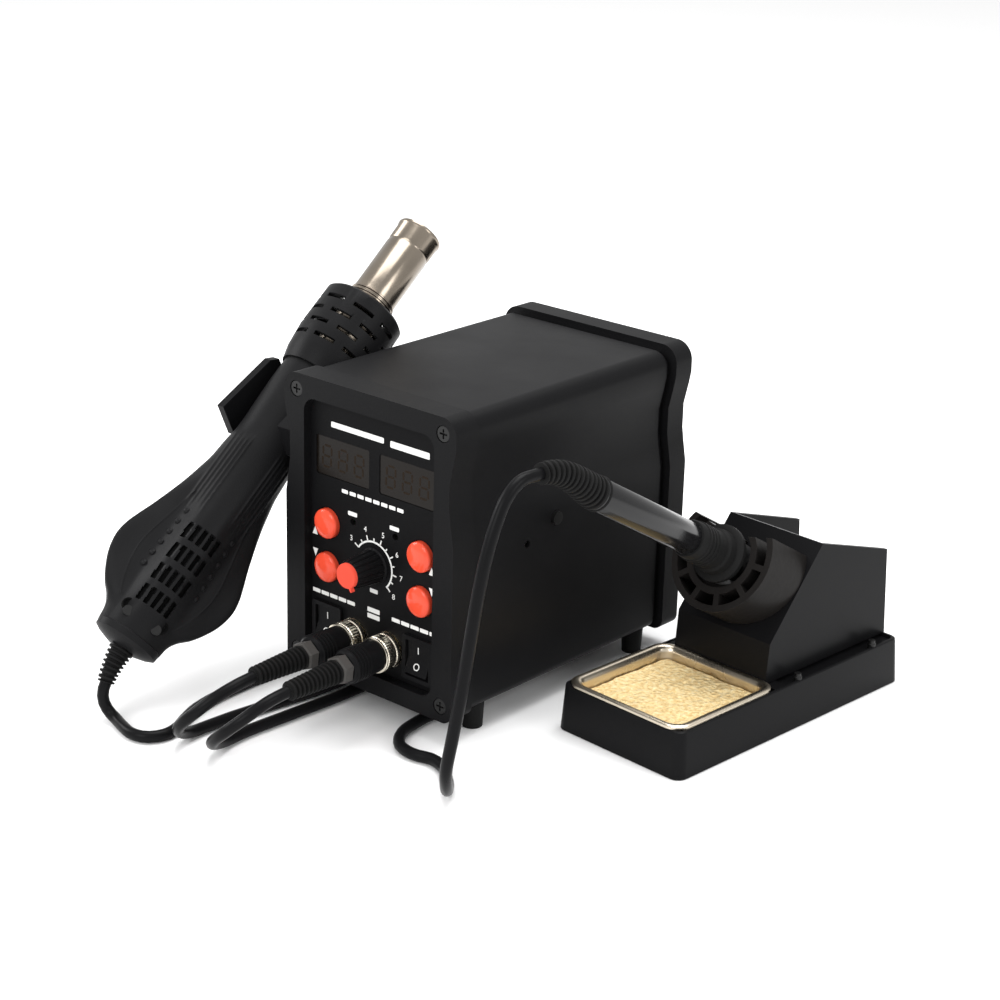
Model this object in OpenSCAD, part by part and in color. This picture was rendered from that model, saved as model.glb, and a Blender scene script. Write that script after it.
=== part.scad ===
// Hot-air and soldering station: control unit, hot-air handle in its bracket, iron in its stand, cords.
// Units mm, +Z up. The origin is on the ground, at the centre of the footprint without the cords.

/* [Layout] */
// Node to draw
// Control unit centre, X from the origin
station_x = -24.3; // [-28:0.1:-20]
// Control unit front face, Y from the origin
station_y = -54.8; // [-58:0.1:-51]
// Turn of the iron stand
stand_turn = -4; // [-8:1:0]

/* [Control unit] */
// Height of the ground clearance under the case
foot_h = 10.5; // [9:0.5:12]
// Case wall thickness
case_t = 2; // [1.6:0.1:2.6]
// Button diameter
button_d = 13; // [11:0.5:13.5]
// Button travel
button_travel = 0.9; // [0.5:0.1:1]
// Knob diameter
knob_d = 15.6; // [13:0.2:17]
// Coupling ring diameter
ring_d = 15.6; // [15:0.2:16.6]

/* [Iron and stand] */
// Stand base height
base_h = 20.6; // [20:0.2:22]
// Bakelite holder outside radius
holder_r = 24.5; // [23.5:0.5:25]
// Iron tube diameter
tube_d = 13.8; // [12:0.2:15]

/* [Hot-air handle] */
// Nozzle diameter
nozzle_d = 20.8; // [18:0.2:22]
// Handle shell wall
shell_t = 2.2; // [1.8:0.1:2.6]

/* [Hidden] */
$fn = 48;
body_w = 95;
body_d = 150;
top_z = 141;
black = [0.07, 0.07, 0.075];
dark = [0.13, 0.13, 0.14];
steel = [0.72, 0.71, 0.68];
red = [0.78, 0.13, 0.09];
board = [0.05, 0.3, 0.14];
window_x = 18.2;
window_z = 106.9;
button_x = 26.6;
button_up_z = 77.7;
button_down_z = 58.1;
knob_z = 66;
trimmer_x = 12;
trimmer_z = 82;
plug_x = 10;
plug_z = 32;
rocker_x = 26.3;
screw_spots = [[-41, 134], [41, 134], [-41.5, 17.3], [41.5, 17.3]];
foot_spots = [[-38.7, 23.5], [38.7, 23.5], [-38.7, 130], [38.7, 130]];
side_holes = [[64.3, 83.6], [46.8, 76.5]];
// hot-air handle: nozzle mouth and tilt
mouth = [-73, 107.3, 175.1];
handle_tilt = -50.72;
handle_roll = 48.2;
// stand: front edge centre, iron axis
stand_at = [99.1, 43.6];
iron_at = [0, 61.8, 71];
iron_tilt = 59.6;
cord_r = 2.5;
cord_sides = 10;

// ---------- helpers ----------

module at_station() {
    translate([station_x, station_y, 0]) children();
}

module at_handle() {
    at_station() translate(mouth) rotate([handle_tilt, 0, 0]) children();
}

// x runs to the wing tip, y away from the vented face, z up to the mouth
module at_shell() {
    at_handle() rotate([0, 0, handle_roll]) children();
}

module at_stand() {
    at_station() translate([stand_at[0], stand_at[1], 0]) rotate([0, 0, stand_turn]) children();
}

// z runs up and forward along the iron, y up out of the holder
module at_iron() {
    at_stand() translate(iron_at) rotate([iron_tilt, 0, 0]) children();
}

// outline in X and Z drawn out from y0 to y1
module along_y(y0, y1) {
    translate([0, y1, 0]) rotate([90, 0, 0]) linear_extrude(y1 - y0) children();
}

// outline in Y and Z drawn out from x0 to x1
module along_x(x0, x1) {
    translate([x0, 0, 0]) rotate([90, 0, 90]) linear_extrude(x1 - x0) children();
}

module rod_y(x, z, r, y0, y1) {
    translate([x, y0, z]) rotate([-90, 0, 0]) cylinder(h = y1 - y0, r = r);
}

module both_sides() {
    children();
    mirror([1, 0, 0]) children();
}

module block(x0, x1, y0, y1, z0, z1) {
    translate([x0, y0, z0]) cube([x1 - x0, y1 - y0, z1 - z0]);
}

module rounded(w, h, r) {
    square([w - 2 * r, h], center = true);
    square([w, h - 2 * r], center = true);
    for (x = [-1, 1], y = [-1, 1])
        translate([x * (w / 2 - r), y * (h / 2 - r)]) circle(r = r);
}

module rounded_block(w, d, z0, z1, r) {
    translate([0, 0, z0]) linear_extrude(z1 - z0) rounded(w, d, r);
}

// front outline of the control unit, set in by g
module outline(g) {
    low_r = 4.6;
    top_r = 7.6;
    zb = foot_h + g;
    zt = top_z - g;
    wb = body_w / 2 - g;
    ww = 45 - g;
    wt = 48.2 - g;
    lr = low_r - g / 2;
    tr = top_r - g / 2;
    half = [
        [0, zb], [wb - lr, zb], [wb, zb + lr], [wb, 88], [wb - 1.6, 97],
        [ww, 103], [ww, 114], [wt - 0.9, 124], [wt, 129], [wt, zt - tr], [wt - tr, zt], [0, zt]
    ];
    both_sides() {
        polygon(half);
        translate([wb - lr, zb + lr]) circle(r = lr);
        translate([wt - tr, zt - tr]) circle(r = tr);
    }
}

// ---------- control unit ----------

module case_extrusion() at_station() color(black) {
    difference() {
        along_y(13, 135) outline(1.3);
        along_y(12, 136) outline(1.3 + case_t);
        for (h = side_holes) translate([-60, h[0], h[1]]) rotate([0, 90, 0]) cylinder(h = 120, r = 1.6);
        for (f = foot_spots) translate([f[0], f[1], 0]) cylinder(h = 20, r = 1.9);
    }
    for (s = screw_spots) difference() {
        rod_y(s[0], s[1], 4.2, 13, 135);
        rod_y(s[0], s[1], 1.4, 12, 136);
        along_y(12, 136) difference() {
            square([400, 400], center = true);
            outline(2);
        }
    }
}

module front_bezel() at_station() color(black) difference() {
    along_y(0, 13) outline(0);
    difference() {
        along_y(4, 14) outline(3);
        for (s = screw_spots) rod_y(s[0], s[1], 4.4, 3, 15);
    }
    translate([0, 0, 75.3]) along_y(-1, 5) rounded(73.2, 112.6, 6);
    for (s = screw_spots) {
        rod_y(s[0], s[1], 1.8, -1, 14);
        rod_y(s[0], s[1], 3.5, -1, 1.8);
    }
}

module front_panel() at_station() color(black) difference() {
    union() {
        along_y(4, 6) outline(3.2);
        both_sides() for (z = [53, 123]) rod_y(38, z, 2.4, 5, 15);
    }
    for (s = screw_spots) rod_y(s[0], s[1], 4.7, 3, 7);
    both_sides() {
        translate([window_x, 0, window_z]) along_y(3, 7) rounded(30.5, 17, 1);
        for (z = [button_up_z, button_down_z]) rod_y(button_x, z, button_d / 2 + 0.3, 3, 7);
        rod_y(trimmer_x, trimmer_z, 1.5, 3, 7);
        rod_y(plug_x, plug_z, 7, 3, 7);
        translate([rocker_x, 0, plug_z]) along_y(3, 7) square([15.6, 18], center = true);
    }
    rod_y(0, knob_z, 3.6, 3, 7);
}

module case_screws() at_station() color(steel) {
    for (s = screw_spots) {
        case_screw(s, 1, 0.3);
        case_screw(s, -1, 150.02);
    }
}

// pan screw at height y, shaft along side * Y
module case_screw(s, side, y) {
    translate([s[0], y, s[1]]) rotate([-90 * side, 0, 0]) difference() {
        union() {
            cylinder(h = 1.5, r = 3.2);
            cylinder(h = 20, r = 1.35);
        }
        for (a = [0, 90]) rotate([0, 0, a]) translate([-2, -0.4, -0.1]) cube([4, 0.8, 1]);
    }
}

module display_windows() at_station() color([0.2, 0.14, 0.1]) both_sides() {
    translate([window_x, 0, window_z]) along_y(4.3, 6) rounded(30.4, 16.9, 0.95);
}

module led_displays() at_station() color(dark) both_sides() difference() {
    block(window_x - 14.5, window_x + 14.5, 6.2, 14.8, window_z - 8, window_z + 8);
    for (k = [-1, 0, 1]) translate([window_x + 9 * k, 0, window_z]) {
        along_y(6, 6.6) square([5, 10], center = true);
    }
}

module control_board() at_station() color(board) difference() {
    union() {
        block(-40, 40, 15, 16.6, 50, 127);
        both_sides() {
            for (z = [button_up_z, button_down_z]) {
                block(button_x - 3, button_x + 3, 12, 15.1, z - 3, z + 3);
            }
            difference() {
                block(trimmer_x - 3.2, trimmer_x + 3.2, 8.5, 15.1, trimmer_z - 3.2, trimmer_z + 3.2);
                rod_y(trimmer_x, trimmer_z, 1.75, 8, 13);
            }
        }
        block(-12, 12, 16.5, 24, 86, 92);
    }
    both_sides() for (z = [53, 123]) rod_y(38, z, 1.2, 14, 18);
}

module pot_body() at_station() color(steel) difference() {
    union() {
        rod_y(0, knob_z, 8, 6.1, 14.8);
        rod_y(0, knob_z, 3.5, 2.4, 6.2);
        translate([0, 4, knob_z]) rotate([90, 0, 0]) cylinder(h = 1.5, r = 5, $fn = 6);
    }
    rod_y(0, knob_z, 3.05, 1, 12);
}

module rocker_frames() at_station() color(black) both_sides() difference() {
    translate([rocker_x, 0, plug_z]) {
        along_y(2.4, 4) rounded(17, 19.5, 1);
        along_y(3.9, 17) square([15.2, 17.6], center = true);
    }
    translate([rocker_x, 0, plug_z]) along_y(1, 15) square([12.8, 15.8], center = true);
    translate([rocker_x - 7.2, 6.5, plug_z]) rotate([0, 90, 0]) cylinder(h = 14.4, r = 1.1);
}

module connector_sockets() at_station() color(steel) both_sides() difference() {
    union() {
        rod_y(plug_x, plug_z, 7.7, 2.7, 4);
        rod_y(plug_x, plug_z, 6.9, 3.9, 16);
        rod_y(plug_x, plug_z, 6.2, -3.3, 3);
        translate([plug_x, 8.4, plug_z]) rotate([90, 0, 0]) cylinder(h = 2.4, r = 8.2, $fn = 6);
    }
    rod_y(plug_x, plug_z, 5, -4, 3.5);
}

// plug on x: pins, shell, grip ribs, hexagonal clamp
module cord_plug(x) {
    rod_y(x, plug_z, 4.9, -3.4, 3.4);
    rod_y(x, plug_z, 6.15, -4.3, -3.4);
    rod_y(x, plug_z, 5.6, -6.2, -4.2);
    rod_y(x, plug_z, 7, -22, -6.2);
    for (k = [0:4]) rod_y(x, plug_z, 7.5, -14.9 - 1.7 * k, -14 - 1.7 * k);
    translate([x, -21.9, plug_z]) rotate([90, 0, 0]) cylinder(h = 6.1, r = 5.6, $fn = 6);
}

module iron_plug() at_station() color(black) cord_plug(-plug_x);

module air_plug() at_station() color(black) cord_plug(plug_x);

// ribbed sleeve from y -28 to -55, bored for the cord
module plug_boot(x) {
    n = 12;
    step = 27 / n;
    translate([x, -28, plug_z]) rotate([90, 0, 0]) difference() {
        union() {
            cylinder(h = 27, r = 3.6);
            for (k = [0:n - 1]) translate([0, 0, k * step]) cylinder(h = step * 0.58, r = 5.2 - 0.1 * k);
        }
        translate([0, 0, 2]) cylinder(h = 30, r = cord_r + 0.1);
    }
}

module iron_plug_boot() at_station() color(black) plug_boot(-plug_x);

module air_plug_boot() at_station() color(black) plug_boot(plug_x);

// knurled ring, free to turn on the plug
module coupling_ring(x) {
    n = 28;
    difference() {
        rod_y(x, plug_z, ring_d / 2, -6, 2.4);
        rod_y(x, plug_z, 6.5, -4.4, 3);
        rod_y(x, plug_z, 5.9, -7, 3);
        for (k = [0:n - 1]) translate([x, 3, plug_z]) rotate([90, k * 360 / n, 0])
            translate([ring_d / 2 + 0.25, 0, 3]) cylinder(h = 4, r = 0.7);
    }
}

module coupling_ring_iron() at_station() color(steel) coupling_ring(-plug_x);

module coupling_ring_air() at_station() color(steel) coupling_ring(plug_x);

// domed cap at (x, z) with a flange behind the panel and a stem to the switch
module button_cap(x, z) {
    r = button_d / 2;
    dome = 2.4;
    big = (r * r + dome * dome) / (2 * dome);
    translate([x, 0, z]) rotate([-90, 0, 0]) {
        difference() {
            translate([0, 0, 0.6 + big]) sphere(r = big);
            translate([-20, -20, 3]) cube([40, 40, 40]);
        }
        translate([0, 0, 2.99]) cylinder(h = 4, r = r);
        translate([0, 0, 6.3]) cylinder(h = 1.2, r = r + 1.1);
        translate([0, 0, 7.4]) cylinder(h = 3.6, r = 1.5);
    }
}

module button_iron_up() at_station() color(red) button_cap(-button_x, button_up_z);

module button_iron_down() at_station() color(red) button_cap(-button_x, button_down_z);

module button_air_up() at_station() color(red) button_cap(button_x, button_up_z);

module button_air_down() at_station() color(red) button_cap(button_x, button_down_z);

module airflow_knob() at_station() color(black) {
    n = 14;
    difference() {
        rod_y(0, knob_z, knob_d / 2, -10.6, 1.8);
        rod_y(0, knob_z, knob_d / 2 - 1.8, -0.6, 3);
        for (k = [0:n - 1]) translate([0, 0, knob_z]) rotate([90, (k + 0.5) * 360 / n, 0])
            translate([knob_d / 2 + 0.3, 0, 0.6]) cylinder(h = 12, r = 1.1);
    }
    rod_y(0, knob_z, 3, -1, 11.5);
}

module knob_cap() at_station() color(red) {
    rod_y(0, knob_z, 5.3, -12.5, -10.6);
    translate([0, -12.5, knob_z]) rotate([0, 150, 0]) block(-0.6, 0.6, -0.5, 0.1, 0.5, 4.8);
}

// see-saw key on a pin along X, shown with its lower end pressed in
module rocker_key(x) {
    side = [[-4.2, -7], [-2.9, 0], [-4.2, 7], [3.4, 5], [4.6, 0], [3.4, -5]];
    translate([x, 6.5, plug_z]) {
        rotate([-9, 0, 0]) along_x(-6, 6) polygon(side);
        translate([-7.1, 0, 0]) rotate([0, 90, 0]) cylinder(h = 14.2, r = 1.03);
    }
}

module rocker_iron() at_station() color(dark) rocker_key(-rocker_x);

module rocker_air() at_station() color(dark) rocker_key(rocker_x);

// slotted screw of the calibration trimmer
module trimmer_screw(x) {
    difference() {
        rod_y(x, trimmer_z, 1.68, 6.6, 12.8);
        block(x - 1.7, x + 1.7, 6, 7.4, trimmer_z - 0.3, trimmer_z + 0.3);
    }
}

module trimmer_iron() at_station() color(steel) trimmer_screw(-trimmer_x);

module trimmer_air() at_station() color(steel) trimmer_screw(trimmer_x);

module rear_cover() at_station() color(black) difference() {
    union() {
        along_y(139, body_d) outline(-0.9);
        along_y(131, 139.5) outline(3.5);
    }
    difference() {
        along_y(130, 147.5) outline(5.5);
        for (s = screw_spots) rod_y(s[0], s[1], 4, 138, 151);
    }
    for (s = screw_spots) {
        rod_y(s[0], s[1], 4.8, 129, 137);
        rod_y(s[0], s[1], 1.8, 130, 152);
        rod_y(s[0], s[1], 3.5, 148.5, 152);
    }
    // mains inlet, cooling slots
    block(4.3, 31.7, 140, 152, 26.3, 57.7);
    for (k = [0:6]) block(-36, -6, 140, 152, 30 + 6 * k, 32.4 + 6 * k);
}

module inlet_socket() at_station() color(dark) difference() {
    union() {
        translate([18, 0, 42]) along_y(150, 152) rounded(31, 35, 2);
        translate([18, 0, 42]) along_y(126, 150.1) square([27, 31], center = true);
    }
    translate([18, 0, 48]) along_y(137, 153) rounded(23, 16, 2.5);
    block(6.9, 29.1, 131, 153, 28.9, 36.1);
}

// three blades of the mains inlet
module inlet_pins() at_station() color(steel) {
    for (k = [-1, 0, 1]) {
        block(17 + 7 * k, 19 + 7 * k, 135, 148, 45.5 + 3.5 * (1 - abs(k)), 49.5 + 3.5 * (1 - abs(k)));
    }
}

module fuse_drawer() at_station() color(black) difference() {
    union() {
        block(7.2, 28.8, 134, 150.6, 29.2, 35.8);
        block(15, 21, 150.5, 152.6, 31, 34);
    }
    block(9, 27, 137, 147, 31, 40);
}

module power_board() at_station() color(board) {
    block(-36, 36, 62, 128, 17.5, 19.1);
    both_sides() for (y = [66, 124]) translate([30, y, 13.8]) cylinder(h = 3.8, r = 3);
    for (p = [[-28, 74], [-14, 74], [-28, 90]]) translate([p[0], p[1], 19]) cylinder(h = 24, r = 6);
    block(-6, 6, 112, 126, 19, 36);
}

module transformer() at_station() color(steel) {
    block(4, 36, 68, 104, 19.3, 60);
    along_y(60, 112) translate([20, 40]) square([20, 26], center = true);
}

module feet() at_station() color(black) for (f = foot_spots) translate([f[0], f[1], 0]) {
    rotate_extrude() polygon([[0, 0], [4.3, 0], [4.9, foot_h + 1.3], [0, foot_h + 1.3]]);
    translate([0, 0, foot_h + 1.2]) cylinder(h = 1.4, r = 1.8);
}

// ---------- handle bracket ----------

// moulded cradle on the left of the case, saddle bored along the handle
module handle_bracket() at_station() color(black) difference() {
    union() {
        // inner block and foot plate on the case side
        along_x(-57, -47.4) polygon([
            [4, 113], [31, 129], [37, 127], [40, 118], [46, 100], [50, 90], [22, 90], [9, 99]
        ]);
        along_x(-50.6, -46.2) polygon([[22, 91], [40, 72], [70, 77], [74, 86], [68, 92], [46, 100]]);
        // outer prong
        along_x(-93, -89) polygon([[3, 114], [31, 129], [36, 128.5], [37.5, 125.5], [24, 97], [9, 100]]);
        // saddle under the neck
        translate([mouth[0], mouth[1], mouth[2]]) rotate([handle_tilt, 0, 0]) translate([0, 0, -122])
            difference() {
                cylinder(h = 35, r = 19.9);
                translate([-30, -40, -1]) cube([60, 40, 40]);
            }
    }
    translate([mouth[0], mouth[1], mouth[2]]) rotate([handle_tilt, 0, 0]) {
        translate([0, 0, -150]) cylinder(h = 90, r = 16.2);
        translate([-16.2, -80, -150]) cube([32.4, 80, 90]);
    }
    along_y(12, 100) outline(1.3);
    for (h = side_holes) translate([-60, h[0], h[1]]) rotate([0, 90, 0]) cylinder(h = 20, r = 1.7);
    for (h = side_holes) translate([-60, h[0], h[1]]) rotate([0, 90, 0]) cylinder(h = 10.6, r = 3.4);
}

module bracket_screws() at_station() color(steel) {
    for (h = side_holes) translate([-51.4, h[0], h[1]]) rotate([0, 90, 0]) {
        cylinder(h = 2, r = 3);
        cylinder(h = 10, r = 1.5);
    }
    translate([47.8, side_holes[0][0], side_holes[0][1]]) rotate([0, -90, 0]) {
        cylinder(h = 1.6, r = 2.9);
        cylinder(h = 8, r = 1.5);
    }
}

// ---------- hot-air handle ----------

// half width, face height and back depth of the shell at distance t from the mouth
shell_rows = [
    [85, 15.6, 15.2, 15.2], [97, 15.6, 15.2, 15.2], [110, 15.2, 15, 15], [122, 14.9, 15, 15],
    [130, 15.8, 15.2, 15.2], [140, 16.6, 15.6, 15.6], [147, 17.9, 16, 16], [154, 19.4, 16.6, 16.8],
    [160, 21, 17.2, 17.8], [166, 22.8, 17.8, 18.8], [172, 24.7, 18.2, 19.8], [179, 27.2, 18.4, 20.6],
    [185, 29, 18.2, 21], [191, 29.6, 17.6, 21], [198, 28.3, 16.6, 20.4], [204, 25.7, 15.4, 19.2],
    [210, 21.9, 13.8, 17.4], [214, 18.1, 12.6, 15.8], [218, 15.9, 11.8, 14.2], [224, 14.9, 11.2, 13]
];
arc_n = 22;

// share of the raised spine in a row, from round neck to flat wings
function spine(t) = t < 140 ? 0 : t < 166 ? (t - 140) / 26 : 1;

// point of a row on the face side (side 1) or the back (side -1), g set in
function rim(row, side, i, g) =
    let (
        a = row[1] - g,
        u = -cos(180 * i / arc_n),
        flat = sqrt(max(0, 1 - u * u)),
        s = spine(row[0]),
        hump = exp(-pow(abs(u) * row[1] / 12.5, 4)),
        wing = 3.4 * flat,
        tall = side > 0 ? row[2] - g : row[3] - g,
        back = exp(-pow(abs(u) * row[1] / 20, 4)),
        high = side > 0
            ? (1 - s) * tall * flat + s * max(wing, hump * tall * sqrt(1 - 0.3 * u * u) + wing * (1 - hump))
            : (1 - s) * tall * flat + s * (back * tall + wing * (1 - back)) * pow(flat, 0.6)
    )
    [a * u, -side * max(0, high - (g > 0 && s > 0 ? 0.6 * s : 0)), -row[0]];

// half shell as closed rings, outer arc then inner arc
module half_shell(side) {
    n = arc_n + 1;
    m = 2 * n;
    rows = len(shell_rows);
    points = [
        for (row = shell_rows) each concat(
            [for (i = [0:arc_n]) rim(row, side, i, 0)],
            [for (i = [0:arc_n]) rim(row, side, arc_n - i, shell_t)]
        )
    ];
    walls = [
        for (j = [0:rows - 2], i = [0:m - 1])
            [j * m + i, j * m + (i + 1) % m, (j + 1) * m + (i + 1) % m, (j + 1) * m + i]
    ];
    caps = [
        for (j = [0, rows - 1], i = [0:arc_n - 1])
            let (a = j * m + i, b = j * m + i + 1, c = j * m + m - 2 - i, d = j * m + m - 1 - i)
            j == 0 ? [a, d, c, b] : [a, b, c, d]
    ];
    faces = concat(walls, caps);
    turned = [for (f = faces) [for (i = [len(f) - 1:-1:0]) f[i]]];
    polyhedron(points = points, faces = side > 0 ? turned : faces);
}

module handle_shell_face() at_shell() color(black) half_shell(1);

module handle_shell_back() at_shell() color(black) half_shell(-1);

// slotted heat guard around the root of the nozzle
module nozzle_guard() at_handle() color(black) difference() {
    rotate_extrude() polygon([
        [11.2, -44.7], [17.6, -44.7], [19.1, -46], [19.4, -67], [18.3, -78.5], [16.7, -84.8],
        [10.9, -84.8], [10.9, -82.8], [14.9, -82.8], [16.4, -77], [17.2, -66], [17.2, -47], [11.2, -47]
    ]);
    for (j = [0:3], k = [0:7]) rotate([0, 0, 45 * k + 22.5 * (j % 2)])
        translate([14, -5.1, -53.4 - 6.6 * j]) cube([7, 10.2, 2]);
}

module nozzle_tube() at_handle() color(steel) difference() {
    union() {
        translate([0, 0, -86.6]) cylinder(h = 86.6, r = nozzle_d / 2 - 0.4);
        translate([0, 0, -2]) cylinder(h = 2, r = nozzle_d / 2);
        for (k = [0:3]) translate([0, 0, -44.2 + 1.8 * k]) cylinder(h = 0.9, r = nozzle_d / 2 + 0.35);
        translate([0, 0, -86.6]) cylinder(h = 1.6, r = 12.6);
    }
    translate([0, 0, -90]) cylinder(h = 95, r = nozzle_d / 2 - 1.4);
}

// ceramic former with the turns of its element
module heater_core() at_handle() color([0.85, 0.82, 0.74]) {
    translate([0, 0, -80]) cylinder(h = 66, r = 5);
    for (k = [0:7]) translate([0, 0, -76 + 8 * k]) cylinder(h = 2, r = 8.4);
}

module fan_motor() at_shell() color(steel) {
    translate([0, 0, -186]) rotate([90, 0, 0]) {
        translate([0, 0, -16]) cylinder(h = 14, r = 9);
        translate([0, 0, -2.5]) cylinder(h = 11, r = 1.2);
    }
}

// radial blower wheel on the motor shaft
module fan_rotor() at_shell() color(dark) {
    translate([0, 0, -186]) rotate([90, 0, 0]) difference() {
        union() {
            translate([0, 0, -0.5]) cylinder(h = 1.4, r = 9.4);
            translate([0, 0, -0.5]) cylinder(h = 8, r = 3);
            for (k = [0:8]) rotate([0, 0, 40 * k]) translate([2, -0.5, 0]) cube([7.2, 1, 6.5]);
        }
        translate([0, 0, -1]) cylinder(h = 12, r = 1.27);
    }
}

// two shell screws beside the tail
module handle_screws() at_shell() color(steel) {
    for (x = [-7, 7]) translate([x, -11.2, -217]) rotate([-90, 0, 0]) {
        cylinder(h = 1.4, r = 2.2);
        cylinder(h = 16, r = 1.1);
    }
}

// tail collar and the ribbed cord sleeve bending down from it
boot_line = [
    [-73, -66, 32.6], [-73, -69.6, 29.4], [-73, -72.6, 26.4], [-73, -75.2, 23.2], [-73, -77.4, 20],
    [-73, -78.7, 17.3]
];

module handle_boot() {
    at_shell() color(black) translate([0, 0, -228]) cylinder(h = 4, r = 9.5);
    at_station() color(black) for (k = [0:len(boot_line) - 2]) {
        way = boot_line[k + 1] - boot_line[k];
        translate(boot_line[k]) rotate([90 - atan2(way[2], -way[1]), 0, 0]) {
            translate([0, 0, -0.6]) cylinder(h = norm(way) + 0.6, r = 4.2 - 0.15 * k);
            translate([0, 0, 0.6]) cylinder(h = 1.7, r = 6.2 - 0.35 * k);
        }
    }
}

// ---------- iron stand ----------

// base block, narrower at the top, g set in
module base_block(g, z0, z1) {
    intersection() {
        along_y(g, 147 - g) polygon([[-34 + g, z0], [34 - g, z0], [32.6 - g, z1], [-32.6 + g, z1]]);
        along_x(-40, 40) polygon([[g, z0], [147 - g, z0], [145.6 - g, z1], [1.4 + g, z1]]);
    }
}

module stand_base() at_stand() color(black) difference() {
    intersection() {
        base_block(0, 0, base_h);
        translate([0, 73.5, 0]) rounded_block(74, 153, -1, 30, 13);
    }
    // hollow under the tray and under the bracket, a cross wall between them
    intersection() {
        base_block(2.6, -1, base_h - 2.2);
        block(-40, 40, 67, 147, -2, 30);
    }
    for (x = [-20, 20], y = [72, 138]) translate([x, y, -1]) cylinder(h = 30, r = 1.4);
    translate([0, 32.2, 0]) rounded_block(58, 59, -1, 30, 5);
}

side_wall = [[63, 20.6], [64.5, 38.3], [95.5, 75], [142, 60.5], [145, 20.6]];

// folded bracket: two side walls, a front panel that slopes up between them, a floor flange
module stand_bracket() at_stand() color(black) difference() {
    union() {
        both_sides() along_x(23, 25) polygon(side_wall);
        along_x(-24, 24) polygon([
            [63, 20.6], [64.5, 38.3], [95.5, 75], [97.3, 74.4], [66.5, 37.9], [65, 20.6]
        ]);
        block(-24, 24, 64, 144, 20.6, 22.4);
    }
    for (x = [-20, 20], y = [72, 138]) translate([x, y, 10]) cylinder(h = 30, r = 1.8);
    translate(iron_at) rotate([iron_tilt, 0, 0]) {
        translate([0, 0, -50]) cylinder(h = 60, r = 12);
        for (x = [-19, 19]) translate([x, -4, -50]) cylinder(h = 60, r = 1.6);
    }
}

// bakelite holder: ring and five cells between an outer and an inner wall
module holder_face() {
    difference() {
        intersection() {
            circle(r = holder_r);
            polygon([[-30, -30], [30, -30], [30, 16.5], [21, 13.4], [0, 8.5], [-21, 13.4], [-30, 16.5]]);
        }
        circle(r = 14);
        difference() {
            circle(r = holder_r - 2.8);
            circle(r = 17);
            for (a = [-180, -140, -105, -72, -36, 0]) rotate([0, 0, a]) {
                translate([10, -1.3]) square([20, 2.6]);
            }
        }
    }
}

module iron_holder() at_stand() color(black) difference() {
    translate(iron_at) rotate([iron_tilt, 0, 0]) {
        difference() {
            translate([0, 0, -40]) linear_extrude(42) holder_face();
            translate([0, 0, -40]) for (x = [-19, 19]) translate([x, -4, 0]) cylinder(h = 30, r = 1.2);
        }
        translate([0, 0, -40]) linear_extrude(38) difference() {
            circle(r = 16);
            circle(r = 11.9);
            translate([-20, 8.5]) square([40, 20]);
        }
    }
    // cut flush with the sloping panel
    along_x(-40, 40) polygon([
        [40, -30], [64.5, 38.3], [64.5, 38.35], [95.5, 75.05], [140, 128], [200, 128], [200, -30]
    ]);
}

module stand_bolts() at_stand() color(steel) {
    for (x = [-20, 20], y = [72, 138]) translate([x, y, 16]) {
        cylinder(h = 7, r = 1.35);
        translate([0, 0, 6.4]) cylinder(h = 2, r = 3);
    }
}

// pressed stainless tray with a turned-out rim
module sponge_tray() at_stand() color(steel) translate([0, 32.5, 0]) difference() {
    union() {
        rounded_block(56.6, 57.6, 6.4, 21, 6);
        rounded_block(62, 61, base_h, base_h + 0.9, 7);
    }
    rounded_block(55, 56, 7.2, 30, 5.4);
}

module sponge() at_stand() color([0.93, 0.79, 0.42]) {
    translate([0, 32.5, 0]) rounded_block(53.6, 54.6, 7.5, 19.6, 5);
}

// ---------- iron ----------

module iron_sleeve() at_iron() color(black) difference() {
    union() {
        translate([0, 0, -12]) cylinder(h = 39.6, r = 8.2);
        translate([0, 0, 2.4]) cylinder(h = 2.6, r = 12.6);
        translate([0, 0, 4.9]) cylinder(h = 4, r = 9.6);
        for (k = [0:3]) translate([0, 0, 18 + 2.2 * k]) cylinder(h = 1.2, r = 8.5);
    }
    translate([0, 0, -13]) cylinder(h = 45, r = 5.6);
}

module iron_tube() at_iron() color(black) difference() {
    union() {
        translate([0, 0, 27.7]) cylinder(h = 66.6, r = tube_d / 2);
        translate([0, 0, -12]) cylinder(h = 40, r = 5.5);
    }
    translate([0, 0, -14]) cylinder(h = 106, r = 4);
}

module iron_barrel() at_iron() color(steel) difference() {
    union() {
        translate([0, 0, -56]) cylinder(h = 50, r = 3.3);
        translate([0, 0, -19]) cylinder(h = 7, r = 7, $fn = 6);
        translate([0, 0, -12.1]) cylinder(h = 10, r = 3.9);
    }
    translate([0, 0, -57]) cylinder(h = 42, r = 2.6);
}

module iron_tip() at_iron() color([0.62, 0.5, 0.4]) {
    translate([0, 0, -58]) cylinder(h = 38, r = 2.5);
    translate([0, 0, -60]) cylinder(h = 4, r = 3.3);
    translate([0, 0, -78]) rotate_extrude() polygon([[0, 0], [0.5, 0.4], [2.2, 12], [2.6, 18.1], [0, 18.1]]);
}

// ribbed cord sleeve, bending from the iron to level; points in Y and Z of the stand
iron_boot_line = [
    [-17.5, 117.5], [-20.3, 119.2], [-22.9, 120.9], [-25.4, 122.7], [-27.9, 124.5], [-30.4, 126.2],
    [-32.9, 127.8], [-35.5, 129.3], [-38.2, 130.6], [-40.9, 131.6], [-43.6, 132.3], [-46.3, 132.8], [-48.9, 133]
];

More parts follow.
